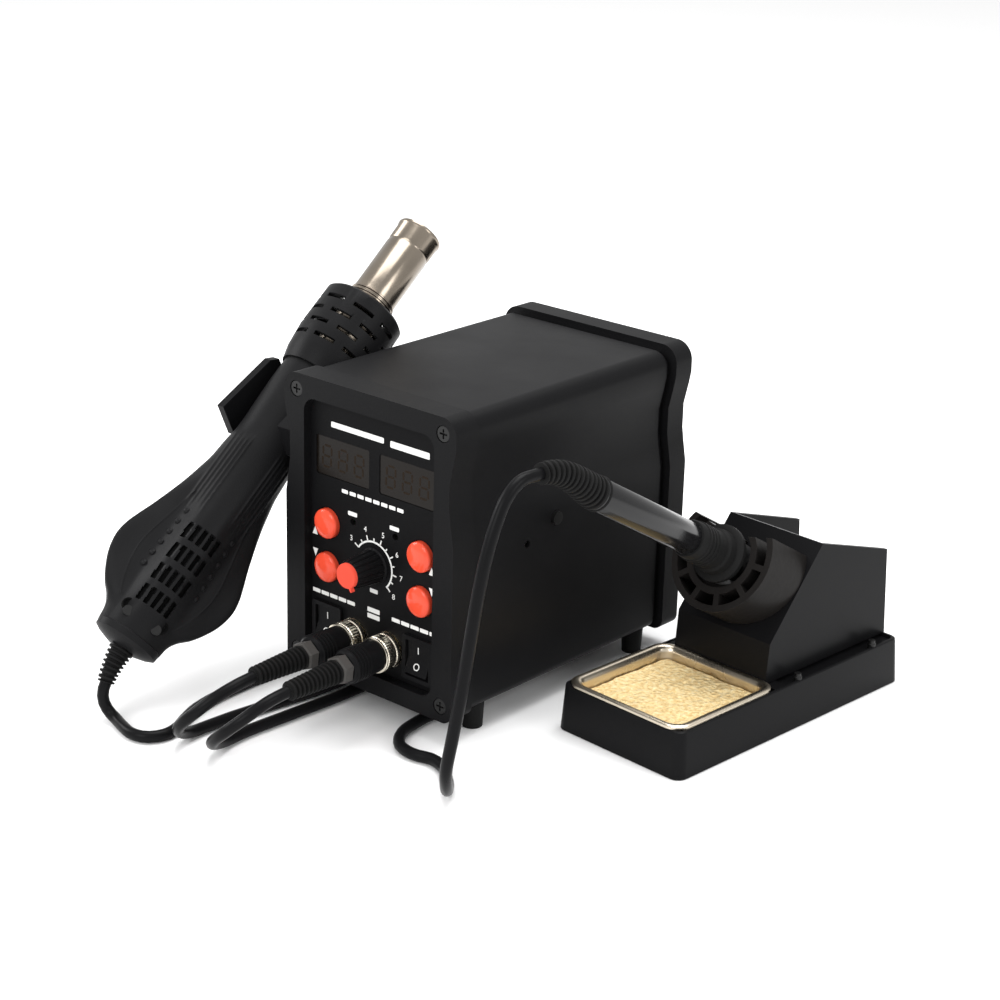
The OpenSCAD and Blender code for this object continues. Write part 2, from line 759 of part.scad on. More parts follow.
module iron_boot() at_stand() color(black) for (k = [0:len(iron_boot_line) - 2]) {
    way = iron_boot_line[k + 1] - iron_boot_line[k];
    translate([0, iron_boot_line[k][0], iron_boot_line[k][1]]) rotate([90 - atan2(way[1], -way[0]), 0, 0]) {
        translate([0, 0, -0.6]) cylinder(h = norm(way) + 0.6, r = 4.9 - 0.13 * k);
        translate([0, 0, 0.5]) cylinder(h = 1.7, r = 7.1 - 0.22 * k);
    }
}

// ---------- cords ----------

// cord routes, hand placed, in the frame of the control unit
drop_route = [
    [95.6, -6.2, 133], [94.8, -16, 132.6], [94.6, -23.5, 127.5], [94.4, -28.6, 119], [94, -33.5, 106],
    [93.6, -37, 92], [93.2, -40, 76], [92.8, -43, 60], [92, -45.6, 45], [90.6, -47, 33],
    [88, -46.5, 22], [83.6, -41.5, 12], [77.4, -34, 5.2], [70, -25.6, 2.6], [60, -17, 2.6]
];
iron_route = [
    [60, -17, 2.6], [52, -15, 2.6], [43, -17, 2.6], [34, -15, 2.6], [27, -7, 2.6], [24, 5, 2.6],
    [23, 60, 2.6], [18, 120, 2.6], [6, 148, 2.6], [-1, 164, 2.6], [-4.6, 180, 3.2], [-5, 188, 3.4]
];
iron_return = [
    [-65.5, 184, 4], [-63, 172, 2.8], [-55, 160, 2.6], [-44, 150.6, 2.6], [-34, 142, 2.6], [-29, 130, 2.6],
    [-28, 112, 2.6], [-28, 40, 2.6], [-28, 0, 2.6], [-31, -22, 2.6], [-34, -44, 2.6], [-35, -57, 2.6],
    [-34.4, -68, 3.6], [-31, -76, 8], [-25, -80.5, 14.5], [-18, -79, 21.5], [-13, -73, 27.5], [-10.4, -64, 31],
    [-10, -54.5, 32]
];
air_route = [
    [-73, -78.9, 16.9], [-73.1, -80.2, 14.1], [-73, -80.4, 9.4], [-71.2, -79.4, 5], [-66.4, -79.4, 2.8],
    [-59, -81.8, 2.6], [-52, -83.4, 2.6], [-45.6, -81.6, 2.6], [-41.8, -75.6, 2.6], [-42.4, -68, 2.6],
    [-46.4, -60, 2.6], [-50.6, -50, 2.6], [-53.6, -34, 2.6], [-55, 0, 2.6], [-58, 60, 2.6],
    [-68, 110, 2.6], [-80, 144, 2.6], [-91, 159, 2.8], [-98, 163.5, 3.2]
];
air_return = [
    [-79, 197, 4.4], [-75, 183, 2.8], [-70, 160, 2.6], [-63, 138, 2.6], [-54, 121, 3.2], [-45, 109, 5.6],
    [-36, 100, 8.2], [-28, 94, 8.2], [-21, 85, 5.6], [-17.6, 74, 3], [-17, 62, 2.6], [-17, 0, 2.6],
    [-18.5, -26, 2.6], [-20, -50, 2.6], [-19, -62, 3], [-15, -72, 6.6], [-8, -78, 12.6], [0, -79, 19.4],
    [6.4, -74, 26], [9.4, -65, 30.6], [10, -54.5, 32]
];
coil_iron = [-36, 197];
coil_air = [-112, 194];

function unit(v) = v / norm(v);
function headings(p) = [for (i = [0:len(p) - 1]) unit(p[min(i + 1, len(p) - 1)] - p[max(i - 1, 0)])];
function square_to(n, t) = unit(n - t * (n * t));
function carried(t, n, i = 0) = i == len(t) ? []
    : let (m = square_to(n, t[i])) concat([m], carried(t, m, i + 1));

// round cord along a route, one closed skin
module cord(route) {
    n = cord_sides;
    t = headings(route);
    a = carried(t, [0.31, 0.17, 0.93]);
    points = [
        for (i = [0:len(route) - 1], k = [0:n - 1])
            route[i] + cord_r * (a[i] * cos(360 * k / n) + cross(t[i], a[i]) * sin(360 * k / n))
    ];
    last = (len(route) - 1) * n;
    faces = concat(
        [[for (k = [n - 1:-1:0]) k]],
        [for (i = [0:len(route) - 2], k = [0:n - 1]) [
            i * n + k, i * n + (k + 1) % n, (i + 1) * n + (k + 1) % n, (i + 1) * n + k
        ]],
        [[for (k = [0:n - 1]) last + k]]
    );
    polyhedron(points = points, faces = [for (f = faces) [for (i = [len(f) - 1:-1:0]) f[i]]]);
}

// stored turns of a cord as one ring
module cord_coil(at) {
    translate([at[0], at[1], 0]) rotate_extrude() translate([27.5, 5.3]) rounded(10, 10, 2.5);
}

module iron_cord_drop() at_station() color(black) cord(drop_route);

module iron_cord() at_station() color(black) {
    cord(iron_route);
    cord(iron_return);
}

module iron_cord_coil() at_station() color(black) cord_coil(coil_iron);

module air_cord() at_station() color(black) {
    cord(air_route);
    cord(air_return);
}

module air_cord_coil() at_station() color(black) cord_coil(coil_air);

case_extrusion();
front_bezel();
front_panel();
case_screws();
display_windows();
led_displays();
control_board();
pot_body();
rocker_frames();
connector_sockets();
iron_plug();
air_plug();
iron_plug_boot();
air_plug_boot();
coupling_ring_iron();
coupling_ring_air();
button_iron_up();
button_iron_down();
button_air_up();
button_air_down();
airflow_knob();
knob_cap();
rocker_iron();
rocker_air();
trimmer_iron();
trimmer_air();
rear_cover();
inlet_socket();
inlet_pins();
fuse_drawer();
power_board();
transformer();
feet();
handle_bracket();
bracket_screws();
handle_shell_face();
handle_shell_back();
nozzle_guard();
nozzle_tube();
heater_core();
fan_motor();
fan_rotor();
handle_screws();
handle_boot();
stand_base();
stand_bracket();
iron_holder();
stand_bolts();
sponge_tray();
sponge();
iron_sleeve();
iron_tube();
iron_barrel();
iron_tip();
iron_boot();
iron_cord_drop();
iron_cord();
iron_cord_coil();
air_cord();
air_cord_coil();
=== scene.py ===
import math

import bmesh
import bpy
from mathutils import Matrix, Vector


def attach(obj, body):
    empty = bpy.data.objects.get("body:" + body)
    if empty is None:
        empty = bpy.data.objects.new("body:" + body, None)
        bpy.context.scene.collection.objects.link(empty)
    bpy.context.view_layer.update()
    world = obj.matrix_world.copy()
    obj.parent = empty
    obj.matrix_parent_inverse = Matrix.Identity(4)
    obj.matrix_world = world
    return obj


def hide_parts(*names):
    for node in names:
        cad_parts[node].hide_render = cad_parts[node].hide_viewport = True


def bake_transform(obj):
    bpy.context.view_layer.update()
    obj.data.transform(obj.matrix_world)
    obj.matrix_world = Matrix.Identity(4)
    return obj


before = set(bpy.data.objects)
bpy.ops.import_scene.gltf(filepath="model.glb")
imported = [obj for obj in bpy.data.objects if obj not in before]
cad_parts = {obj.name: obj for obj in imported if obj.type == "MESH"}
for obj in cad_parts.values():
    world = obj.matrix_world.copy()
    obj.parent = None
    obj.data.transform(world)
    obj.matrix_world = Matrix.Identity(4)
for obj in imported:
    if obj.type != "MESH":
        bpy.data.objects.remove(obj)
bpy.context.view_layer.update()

# ---------- frame of the control unit: mm, front face at y 0 ----------
UNIT_X, UNIT_Y = -24.3, -54.8


def W(x, y, z):
    return Vector(((x + UNIT_X) / 1000, (y + UNIT_Y) / 1000, z / 1000))


def placed(origin, *turns):
    """A matrix from local metres: turns are (axis, degrees), outermost first."""
    m = Matrix.Translation(origin)
    for axis, deg in turns:
        m = m @ Matrix.Rotation(math.radians(deg), 4, axis)
    return m


HANDLE_LEAN = -50.72  # degrees about X
SHELL_TURN = 48.2  # degrees about the handle
STAND_TURN = -4  # degrees about Z
IRON_LEAN = 59.6  # degrees about X
AT_HANDLE = placed(W(-73, 107.3, 175.1), ("X", HANDLE_LEAN))
AT_SHELL = AT_HANDLE @ Matrix.Rotation(math.radians(SHELL_TURN), 4, "Z")
AT_STAND = placed(W(99.1, 43.6, 0), ("Z", STAND_TURN))
AT_IRON = AT_STAND @ placed(Vector((0, 0.0618, 0.071)), ("X", IRON_LEAN))


def mm(*v):
    return Vector(v) / 1000


# ---------- camera ----------
def make_camera():
    az, el, roll = map(math.radians, (40.92, 20.40, 1.47))
    back = Vector((math.sin(az) * math.cos(el), -math.cos(az) * math.cos(el), math.sin(el)))
    right = Vector((math.cos(az), math.sin(az), 0))
    up = back.cross(right)
    r = math.cos(roll) * right + math.sin(roll) * up
    u = -math.sin(roll) * right + math.cos(roll) * up
    data = bpy.data.cameras.new("camera")
    data.lens, data.sensor_width = 83.13, 36
    data.clip_start, data.clip_end = 0.05, 20
    cam = bpy.data.objects.new("camera", data)
    m = Matrix((r, u, back)).transposed().to_4x4()
    m.translation = W(615.0, -627.3, 423.5)
    cam.matrix_world = m
    bpy.context.scene.collection.objects.link(cam)
    bpy.context.scene.camera = cam


make_camera()


# ---------- materials ----------
def finish_of(name, color, rough=0.45, metal=0.0, vary=0.12, grain=900.0, bump=0.15, coat=0.0,
    deep=0.0002, rough_vary=0.08, shine=0.06):
    """A procedural finish: fine grain bump, soft colour and gloss variation."""
    mat = bpy.data.materials.new(name)
    mat.use_nodes = True
    nt = mat.node_tree
    bsdf = nt.nodes["Principled BSDF"]
    bsdf.inputs["Metallic"].default_value = metal
    bsdf.inputs["Specular IOR Level"].default_value = 0.5 if metal else shine
    bsdf.inputs["Coat Weight"].default_value = coat
    bsdf.inputs["Coat Roughness"].default_value = 0.12
    coord = nt.nodes.new("ShaderNodeTexCoord")
    wide = nt.nodes.new("ShaderNodeTexNoise")
    wide.inputs["Scale"].default_value = 38
    wide.inputs["Detail"].default_value = 4
    fine = nt.nodes.new("ShaderNodeTexNoise")
    fine.inputs["Scale"].default_value = grain
    fine.inputs["Detail"].default_value = 2
    nt.links.new(coord.outputs["Object"], wide.inputs["Vector"])
    nt.links.new(coord.outputs["Object"], fine.inputs["Vector"])
    ramp = nt.nodes.new("ShaderNodeMix")
    ramp.data_type = "RGBA"
    ramp.inputs[6].default_value = (*[c * (1 - vary) for c in color], 1)
    ramp.inputs[7].default_value = (*[min(1, c * (1 + vary)) for c in color], 1)
    nt.links.new(wide.outputs["Fac"], ramp.inputs[0])
    nt.links.new(ramp.outputs[2], bsdf.inputs["Base Color"])
    span = nt.nodes.new("ShaderNodeMapRange")
    span.inputs["To Min"].default_value = max(0.02, rough - rough_vary)
    span.inputs["To Max"].default_value = min(1, rough + rough_vary)
    nt.links.new(wide.outputs["Fac"], span.inputs["Value"])
    nt.links.new(span.outputs["Result"], bsdf.inputs["Roughness"])
    node = nt.nodes.new("ShaderNodeBump")
    node.inputs["Strength"].default_value = bump
    node.inputs["Distance"].default_value = deep
    nt.links.new(fine.outputs["Fac"], node.inputs["Height"])
    nt.links.new(node.outputs["Normal"], bsdf.inputs["Normal"])
    return mat


M = {
    "case": finish_of("case_paint", (0.006, 0.006, 0.0065), 0.4, grain=1500, bump=0.1),
    "bezel": finish_of("bezel_plastic", (0.0065, 0.0065, 0.007), 0.45, grain=1300, bump=0.18),
    "panel": finish_of("panel_plastic", (0.004, 0.004, 0.0044), 0.52, grain=1600, bump=0.06),
    "black": finish_of("black_plastic", (0.006, 0.006, 0.0065), 0.42, grain=1100, bump=0.14),
    "handle": finish_of("handle_plastic", (0.009, 0.009, 0.0095), 0.4, grain=1500, bump=0.3),
    "rubber": finish_of("black_rubber", (0.009, 0.009, 0.009), 0.55, grain=1200, bump=0.2),
    "cord": finish_of("cord_silicone", (0.006, 0.006, 0.0065), 0.3, grain=1000, bump=0.08),
    "gloss": finish_of("gloss_tube", (0.006, 0.006, 0.0065), 0.16, grain=900, bump=0.03,
        rough_vary=0.03, shine=0.35),
    "stand": finish_of("stand_paint", (0.006, 0.006, 0.0065), 0.32, grain=1100, bump=0.1),
    "bakelite": finish_of("bakelite", (0.011, 0.01, 0.0095), 0.36, grain=260, bump=0.35, deep=0.0003),
    "nickel": finish_of("nickel_plate", (0.78, 0.72, 0.6), 0.22, metal=1, grain=700, bump=0.1),
    "steel": finish_of("bright_steel", (0.62, 0.55, 0.44), 0.28, metal=1, grain=500, bump=0.08),
    "nozzle": finish_of("nozzle_steel", (0.25, 0.215, 0.175), 0.24, metal=1, vary=0.3, grain=240, bump=0.1),
    "grey": finish_of("grey_clamp", (0.06, 0.057, 0.054), 0.4, grain=700, bump=0.2),
    "screw": finish_of("black_screw", (0.022, 0.022, 0.022), 0.38, metal=0.8, grain=700, bump=0.1),
    "red": finish_of("button_red", (0.76, 0.075, 0.035), 0.16, vary=0.06, grain=600, bump=0.04,
        coat=0.4, rough_vary=0.03),
    "cap": finish_of("cap_red", (0.7, 0.075, 0.045), 0.5, vary=0.06, grain=1200, bump=0.15),
    "white": finish_of("panel_print", (0.72, 0.72, 0.7), 0.6, vary=0.04, grain=900, bump=0.03),
    "window": finish_of("smoked_window", (0.006, 0.0042, 0.003), 0.2, grain=500, bump=0.01, coat=0.12),
    "segment": finish_of("segment_off", (0.016, 0.0105, 0.0065), 0.5, grain=900, bump=0.02),
    "board": finish_of("board_mask", (0.02, 0.12, 0.05), 0.35, grain=600, bump=0.1),
    "ceramic": finish_of("ceramic", (0.7, 0.66, 0.58), 0.7, grain=600, bump=0.2),
    "tin": finish_of("tinned_tip", (0.55, 0.47, 0.38), 0.35, metal=1, grain=500, bump=0.2),
    # painted_edge_highlight_line: a light grey line, a painted edge highlight beside the vent spine; no face
    # is given it
    "painted_edge_highlight": finish_of("painted_edge_highlight_line", (0.11, 0.11, 0.105), 0.5, grain=900, bump=0.05),
    # vent_painted_shade: near-black painted shade for the insides of the vent slots and the screw wells
    "hole": finish_of("vent_painted_shade", (0.0015, 0.0015, 0.0015), 0.8, grain=900, bump=0.02),
}


def sponge_finish():
    """Pale yellow cellulose: pebbly lumps, pores and tan flecks."""
    mat = bpy.data.materials.new("sponge_cellulose")
    mat.use_nodes = True
    nt = mat.node_tree
    bsdf = nt.nodes["Principled BSDF"]
    bsdf.inputs["Roughness"].default_value = 0.9
    coord = nt.nodes.new("ShaderNodeTexCoord")
    lumps = nt.nodes.new("ShaderNodeTexNoise")
    lumps.inputs["Scale"].default_value = 560
    lumps.inputs["Detail"].default_value = 6
    pores = nt.nodes.new("ShaderNodeTexVoronoi")
    pores.inputs["Scale"].default_value = 520
    for n in (lumps, pores):
        nt.links.new(coord.outputs["Object"], n.inputs["Vector"])
    ramp = nt.nodes.new("ShaderNodeValToRGB")
    ramp.color_ramp.elements[0].position = 0.3
    ramp.color_ramp.elements[0].color = (0.7, 0.46, 0.19, 1)
    ramp.color_ramp.elements[1].position = 0.52
    ramp.color_ramp.elements[1].color = (0.88, 0.67, 0.33, 1)
    top = ramp.color_ramp.elements.new(0.75)
    top.color = (0.95, 0.8, 0.5, 1)
    nt.links.new(lumps.outputs["Fac"], ramp.inputs["Fac"])
    nt.links.new(ramp.outputs["Color"], bsdf.inputs["Base Color"])
    add = nt.nodes.new("ShaderNodeMath")
    nt.links.new(lumps.outputs["Fac"], add.inputs[0])
    nt.links.new(pores.outputs["Distance"], add.inputs[1])
    bump = nt.nodes.new("ShaderNodeBump")
    bump.inputs["Strength"].default_value = 0.9
    bump.inputs["Distance"].default_value = 0.0012
    nt.links.new(add.outputs[0], bump.inputs["Height"])
    nt.links.new(bump.outputs["Normal"], bsdf.inputs["Normal"])
    return mat


M["sponge"] = sponge_finish()


# ---------- mesh helpers ----------
def piece(name, verts, faces, mat, body, smooth=35, matrix=None, bevel=0.0, segments=2):
    mesh = bpy.data.meshes.new(name)
    mesh.from_pydata([tuple(v) for v in verts], [], faces)
    bm = bmesh.new()
    bm.from_mesh(mesh)
    if matrix is not None:
        bmesh.ops.transform(bm, matrix=matrix, verts=bm.verts)
    bmesh.ops.recalc_face_normals(bm, faces=bm.faces)
    bm.to_mesh(mesh)
    bm.free()
    return dressed(name, mesh, mat, body, smooth, bevel, segments)


def dressed(name, mesh, mat, body, smooth=35, bevel=0.0, segments=2):
    for m in mat if isinstance(mat, (list, tuple)) else [mat]:
        mesh.materials.append(M[m])
    if smooth:
        mesh.polygons.foreach_set("use_smooth", [True] * len(mesh.polygons))
        mesh.set_sharp_from_angle(angle=math.radians(smooth))
    obj = bpy.data.objects.new(name, mesh)
    bpy.context.scene.collection.objects.link(obj)
    if bevel:
        mod = obj.modifiers.new("edges", "BEVEL")
        mod.width, mod.segments = bevel / 1000, segments
        mod.limit_method, mod.angle_limit = "ANGLE", math.radians(40)
        mod.harden_normals = True
    if body:
        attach(obj, body)
    return obj


def soften(node, mat, body, width, name=None, segments=2, smooth=35):
    """A piece with the CAD node's own form and eased edges, standing for the node."""
    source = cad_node(node)
    bm = bmesh.new()
    bm.from_mesh(source.data)
    bm.transform(source.matrix_world)
    bmesh.ops.remove_doubles(bm, verts=bm.verts, dist=2e-6)
    bmesh.ops.dissolve_limit(bm, angle_limit=math.radians(1.0), verts=bm.verts, edges=bm.edges)
    bmesh.ops.recalc_face_normals(bm, faces=bm.faces)
    mesh = bpy.data.meshes.new(name or node + "_soft")
    bm.to_mesh(mesh)
    bm.free()
    obj = dressed(name or node + "_soft", mesh, mat, body, smooth, width, segments)
    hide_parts(node)
    return obj


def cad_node(node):
    return bpy.data.objects[node]


def paint(node, mat):
    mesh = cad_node(node).data
    mesh.materials.clear()
    mesh.materials.append(M[mat])


def lathe(name, profile, mat, body, matrix, n=64, smooth=35):
    """Turns (radius, height) in mm round local Z."""
    verts, faces = [], []
    for r, z in profile:
        for k in range(n):
            a = 2 * math.pi * k / n
            verts.append(mm(r * math.cos(a), r * math.sin(a), z))
    for i in range(len(profile) - 1):
        for k in range(n):
            a, b = i * n + k, i * n + (k + 1) % n
            faces.append((a, b, b + n, a + n))
    if profile[0][0] > 0:
        faces.append(tuple(range(n - 1, -1, -1)))
    if profile[-1][0] > 0:
        faces.append(tuple(range((len(profile) - 1) * n, len(profile) * n)))
    obj = piece(name, verts, faces, mat, body, smooth, matrix)
    return obj


def frames_along(path):
    """Heading and two square directions at each point, carried without twist."""
    heads = []
    for i in range(len(path)):
        heads.append((path[min(i + 1, len(path) - 1)] - path[max(i - 1, 0)]).normalized())
    side = heads[0].orthogonal().normalized()
    out = []
    for h in heads:
        side = (side - h * side.dot(h)).normalized()
        out.append((h, side, h.cross(side)))
    return out


def tube(name, path, radius, mat, body, n=16, radii=None, smooth=60):
    verts, faces = [], []
    for i, (p, (_, a, b)) in enumerate(zip(path, frames_along(path))):
        r = radii[i] if radii else radius
        for k in range(n):
            t = 2 * math.pi * k / n
            verts.append(p + r * (a * math.cos(t) + b * math.sin(t)))
    for i in range(len(path) - 1):
        for k in range(n):
            a, b = i * n + k, i * n + (k + 1) % n
            faces.append((a, b, b + n, a + n))
    faces.append(tuple(range(n - 1, -1, -1)))
    faces.append(tuple(range((len(path) - 1) * n, len(path) * n)))
    return piece(name, verts, faces, mat, body, smooth)


def spline(points, step):
    """Evenly spaced points on a smooth curve through the given ones (metres)."""
    pts = [points[0] * 2 - points[1]] + list(points) + [points[-1] * 2 - points[-2]]
    fine = []
    for i in range(1, len(pts) - 2):
        p0, p1, p2, p3 = pts[i - 1], pts[i], pts[i + 1], pts[i + 2]
        d0 = max((p1 - p0).length, 1e-6) ** 0.5
        d1 = max((p2 - p1).length, 1e-6) ** 0.5
        d2 = max((p3 - p2).length, 1e-6) ** 0.5
        m1 = (p2 - p1) + d1 * ((p1 - p0) / d0 - (p2 - p0) / (d0 + d1))
        m2 = (p2 - p1) + d1 * ((p3 - p2) / d2 - (p3 - p1) / (d1 + d2))
        for k in range(24):
            t = k / 24
            h = (2 * t**3 - 3 * t**2 + 1, t**3 - 2 * t**2 + t, -2 * t**3 + 3 * t**2, t**3 - t**2)
            fine.append(p1 * h[0] + m1 * h[1] + p2 * h[2] + m2 * h[3])
    fine.append(points[-1])
    out = [fine[0]]
    total = sum((b - a).length for a, b in zip(fine, fine[1:]))
    count = max(2, round(total / step))
    gap, walked, target = total / count, 0.0, total / count
    for a, b in zip(fine, fine[1:]):
        d = (b - a).length
        while d > 0 and walked + d >= target - 1e-9 and len(out) < count:
            out.append(a.lerp(b, (target - walked) / d))
            target += gap
        walked += d
    out.append(fine[-1])
    return out


def slab(name, outline, z0, z1, mat, body, matrix, bevel=0.0, smooth=35):
    """A flat outline (mm) drawn from z0 to z1."""
    n = len(outline)
    verts = [mm(x, y, z0) for x, y in outline] + [mm(x, y, z1) for x, y in outline]
    faces = [tuple(range(n - 1, -1, -1)), tuple(range(n, 2 * n))]
    faces += [(i, (i + 1) % n, (i + 1) % n + n, i + n) for i in range(n)]
    return piece(name, verts, faces, mat, body, smooth, matrix, bevel)


def round_box(w, h, r, steps=6, cx=0.0, cy=0.0):
    out = []
    for qx, qy, start in ((1, -1, -90), (1, 1, 0), (-1, 1, 90), (-1, -1, 180)):
        for k in range(steps + 1):
            a = math.radians(start + 90 * k / steps)
            out.append((cx + qx * (w / 2 - r) + r * math.cos(a), cy + qy * (h / 2 - r) + r * math.sin(a)))
    return out


def merge(name, objs, body):
    """Joins simple meshes that share a body into one piece."""
    bm = bmesh.new()
    mats = []
    for o in objs:
        base = len(mats)
        mats += [m for m in o.data.materials]
        start = len(bm.faces)
        o_mesh = o.data
        bm.from_mesh(o_mesh)
        bm.faces.ensure_lookup_table()
        for f in bm.faces[start:]:
            f.material_index += base
        bpy.data.objects.remove(o)
    mesh = bpy.data.meshes.new(name)
    bm.to_mesh(mesh)
    bm.free()
    for m in mats:
        mesh.materials.append(m)
    obj = bpy.data.objects.new(name, mesh)
    bpy.context.scene.collection.objects.link(obj)
    mesh.polygons.foreach_set("use_smooth", [True] * len(mesh.polygons))
    mesh.set_sharp_from_angle(angle=math.radians(35))
    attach(obj, body)
    return obj


# ---------- cords, first ----------
CORD_R = 0.0025
DROP = [
    (95.6, -5.2, 133), (94.8, -16, 132.6), (94.6, -23.5, 127.5), (94.4, -28.6, 119), (94, -33.5, 106),
    (93.6, -37, 92), (93.2, -40, 76), (92.8, -43, 60), (92, -45.6, 45), (90.6, -47, 33),
    (88, -46.5, 22), (83.6, -41.5, 12), (77.4, -34, 5.2), (70, -25.6, 2.6), (60, -17, 2.6),
]
IRON_OUT = [
    (60, -17, 2.6), (52, -15, 2.6), (43, -17, 2.6), (34, -15, 2.6), (27, -7, 2.6), (24, 5, 2.6),
    (23, 60, 2.6), (18, 120, 2.6), (6, 148, 2.6), (-1, 164, 2.6), (-4.6, 180, 2.6),
]
IRON_BACK = [
    (-65.5, 184, 6.6), (-63, 172, 3.6), (-55, 160, 2.6), (-44, 150.6, 2.6), (-34, 142, 2.6), (-29, 130, 2.6),
    (-28, 112, 2.6), (-28, 40, 2.6), (-28, 0, 2.6), (-31, -22, 2.6), (-34, -44, 2.6), (-35, -57, 2.6),
    (-34.4, -68, 3.6), (-31, -76, 8), (-25, -80.5, 14.5), (-18, -79, 21.5), (-13, -73, 27.5), (-10.4,
        -64, 31),
    (-10, -54.5, 32),
]
AIR_OUT = [
    (-73, -78.7, 17.3), (-73.1, -80.2, 14.1), (-73, -80.4, 9.4), (-71.2, -79.4, 5),
    (-66.4, -79.4, 2.8), (-59, -81.8, 2.6), (-52, -83.4, 2.6), (-45.6, -81.6, 2.6), (-41.8, -75.6, 2.6),
    (-42.4, -68, 2.6), (-46.4, -60, 2.6), (-50.6, -50, 2.6), (-53.6, -34, 2.6), (-55, 0, 2.6),
    (-58, 60, 2.6), (-68, 110, 2.6), (-80, 144, 2.6), (-91, 159, 2.6),
]
AIR_BACK = [
    (-79.5, 197, 7), (-75.5, 183, 4.4), (-70, 160, 2.6), (-63, 138, 2.6), (-54, 121, 3.2), (-45, 109, 5.6),
    (-36, 100, 8.2), (-28, 94, 8.2), (-21, 85, 5.6), (-17.6, 74, 3), (-17, 62, 2.6), (-17, 0, 2.6),
    (-18.5, -26, 2.6), (-20, -50, 2.6), (-19, -62, 3), (-15, -72, 6.6), (-8, -78, 12.6), (0, -79, 19.4),
    (6.4, -74, 26), (9.4, -65, 30.6), (10, -54.5, 32),
]


def coil_points(cx, cy, start, end, turns, clockwise):
    """Stored turns: a lower row wound inwards and an upper row wound back out."""
    out = []
    sweep = (end - start) % 360 if not clockwise else -((start - end) % 360)
    total = sweep + (360 * turns if not clockwise else -360 * turns)
    steps = int(abs(total) / 360 * 28)
    for k in range(steps + 1):
        f = k / steps
        a = math.radians(start + total * f)
        if f < 0.5:
            r, z = 30.2 - 5.4 * min(1, f / 0.44), 2.6
        else:
            r, z = 24.8 + 5.4 * max(0, (f - 0.56) / 0.44), 7.8
        if 0.44 < f < 0.56:
            s = (f - 0.44) / 0.12
            z = 2.6 + 5.2 * s * s * (3 - 2 * s)
            r = 24.8
        out.append((cx + r * math.cos(a), cy + r * math.sin(a), z))
    return out


def to_row(points):
    return [W(*p) for p in points]


def tie(name, cx, cy, angle):
    """A twist tie round the bundle of turns."""
    a = math.radians(angle)
    c = Vector((cx + 27.6 * math.cos(a), cy + 27.6 * math.sin(a), 5.2))
    out = Vector((math.cos(a), math.sin(a), 0))
    path = []
    for k in range(25):
        t = 2 * math.pi * k / 24
        p = c + out * 6.6 * math.cos(t) + Vector((0, 0, 1)) * max(-4.7, 5.7 * math.sin(t))
        path.append(W(*p))
    return tube(name, path, 0.0005, "grey", "root", n=8)


def lay_cords():
    drop = spline(to_row(DROP), 0.003)
    d = tube("iron_cord_drop_run", drop, CORD_R, "cord", None)
    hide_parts("iron_cord_drop")
    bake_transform(d)

    coil_i = coil_points(-36, 197, 0, 180, 3, False)
    run_i = spline(to_row(IRON_OUT + coil_i + IRON_BACK), 0.003)
    i = tube("iron_cord_run", run_i, CORD_R, "cord", None)
    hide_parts("iron_cord", "iron_cord_coil")
    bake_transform(i)
    ti = tie("iron_cord_tie", -36, 197, 80)

    coil_a = coil_points(-112, 194, -80, 30, 3, True)
    run_a = spline(to_row(AIR_OUT + coil_a + AIR_BACK), 0.003)
    a = tube("air_cord_run", run_a, CORD_R, "cord", None)
    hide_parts("air_cord", "air_cord_coil")
    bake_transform(a)
    ta = tie("air_cord_tie", -112, 194, 100)


lay_cords()

# ---------- nodes that keep their CAD form ----------
for node, mat in {
    "case_screws": "screw", "pot_body": "nickel", "control_board": "board", "led_displays": "window",
    "power_board": "board", "transformer": "steel", "inlet_pins": "nickel", "heater_core": "ceramic",
    "fan_motor": "steel", "fan_rotor": "black", "trimmer_iron": "nickel", "trimmer_air": "nickel",
    "connector_sockets": "nickel", "iron_barrel": "steel", "iron_tip": "tin", "stand_bolts": "screw",
    "bracket_screws": "screw", "handle_screws": "screw",
}.items():
    paint(node, mat)

for node, mat, body, width in (
    ("case_extrusion", "case", "root", 0.25),
    ("front_bezel", "bezel", "root", 0.8),
    ("front_panel", "panel", "root", 0.2),
    ("rear_cover", "bezel", "root", 0.7),
    ("handle_bracket", "black", "root", 0.6),
    ("inlet_socket", "black", "root", 0.3),
    ("fuse_drawer", "black", "fuse_drawer", 0.3),
    ("rocker_frames", "black", "root", 0.35),
    ("feet", "rubber", "root", 0.4),
    ("stand_bracket", "stand", "stand", 0.5),
    ("iron_holder", "bakelite", "stand", 0.45),
    ("nozzle_guard", "handle", "air_handle", 0.35),
):
    soften(node, mat, body, width)


# ---------- control panel ----------
def on_panel(x, z, y=4.0):
    """Matrix with local x right, y up, z out of the panel, at a spot on it."""
    return placed(W(x, y, z), ("X", 90))


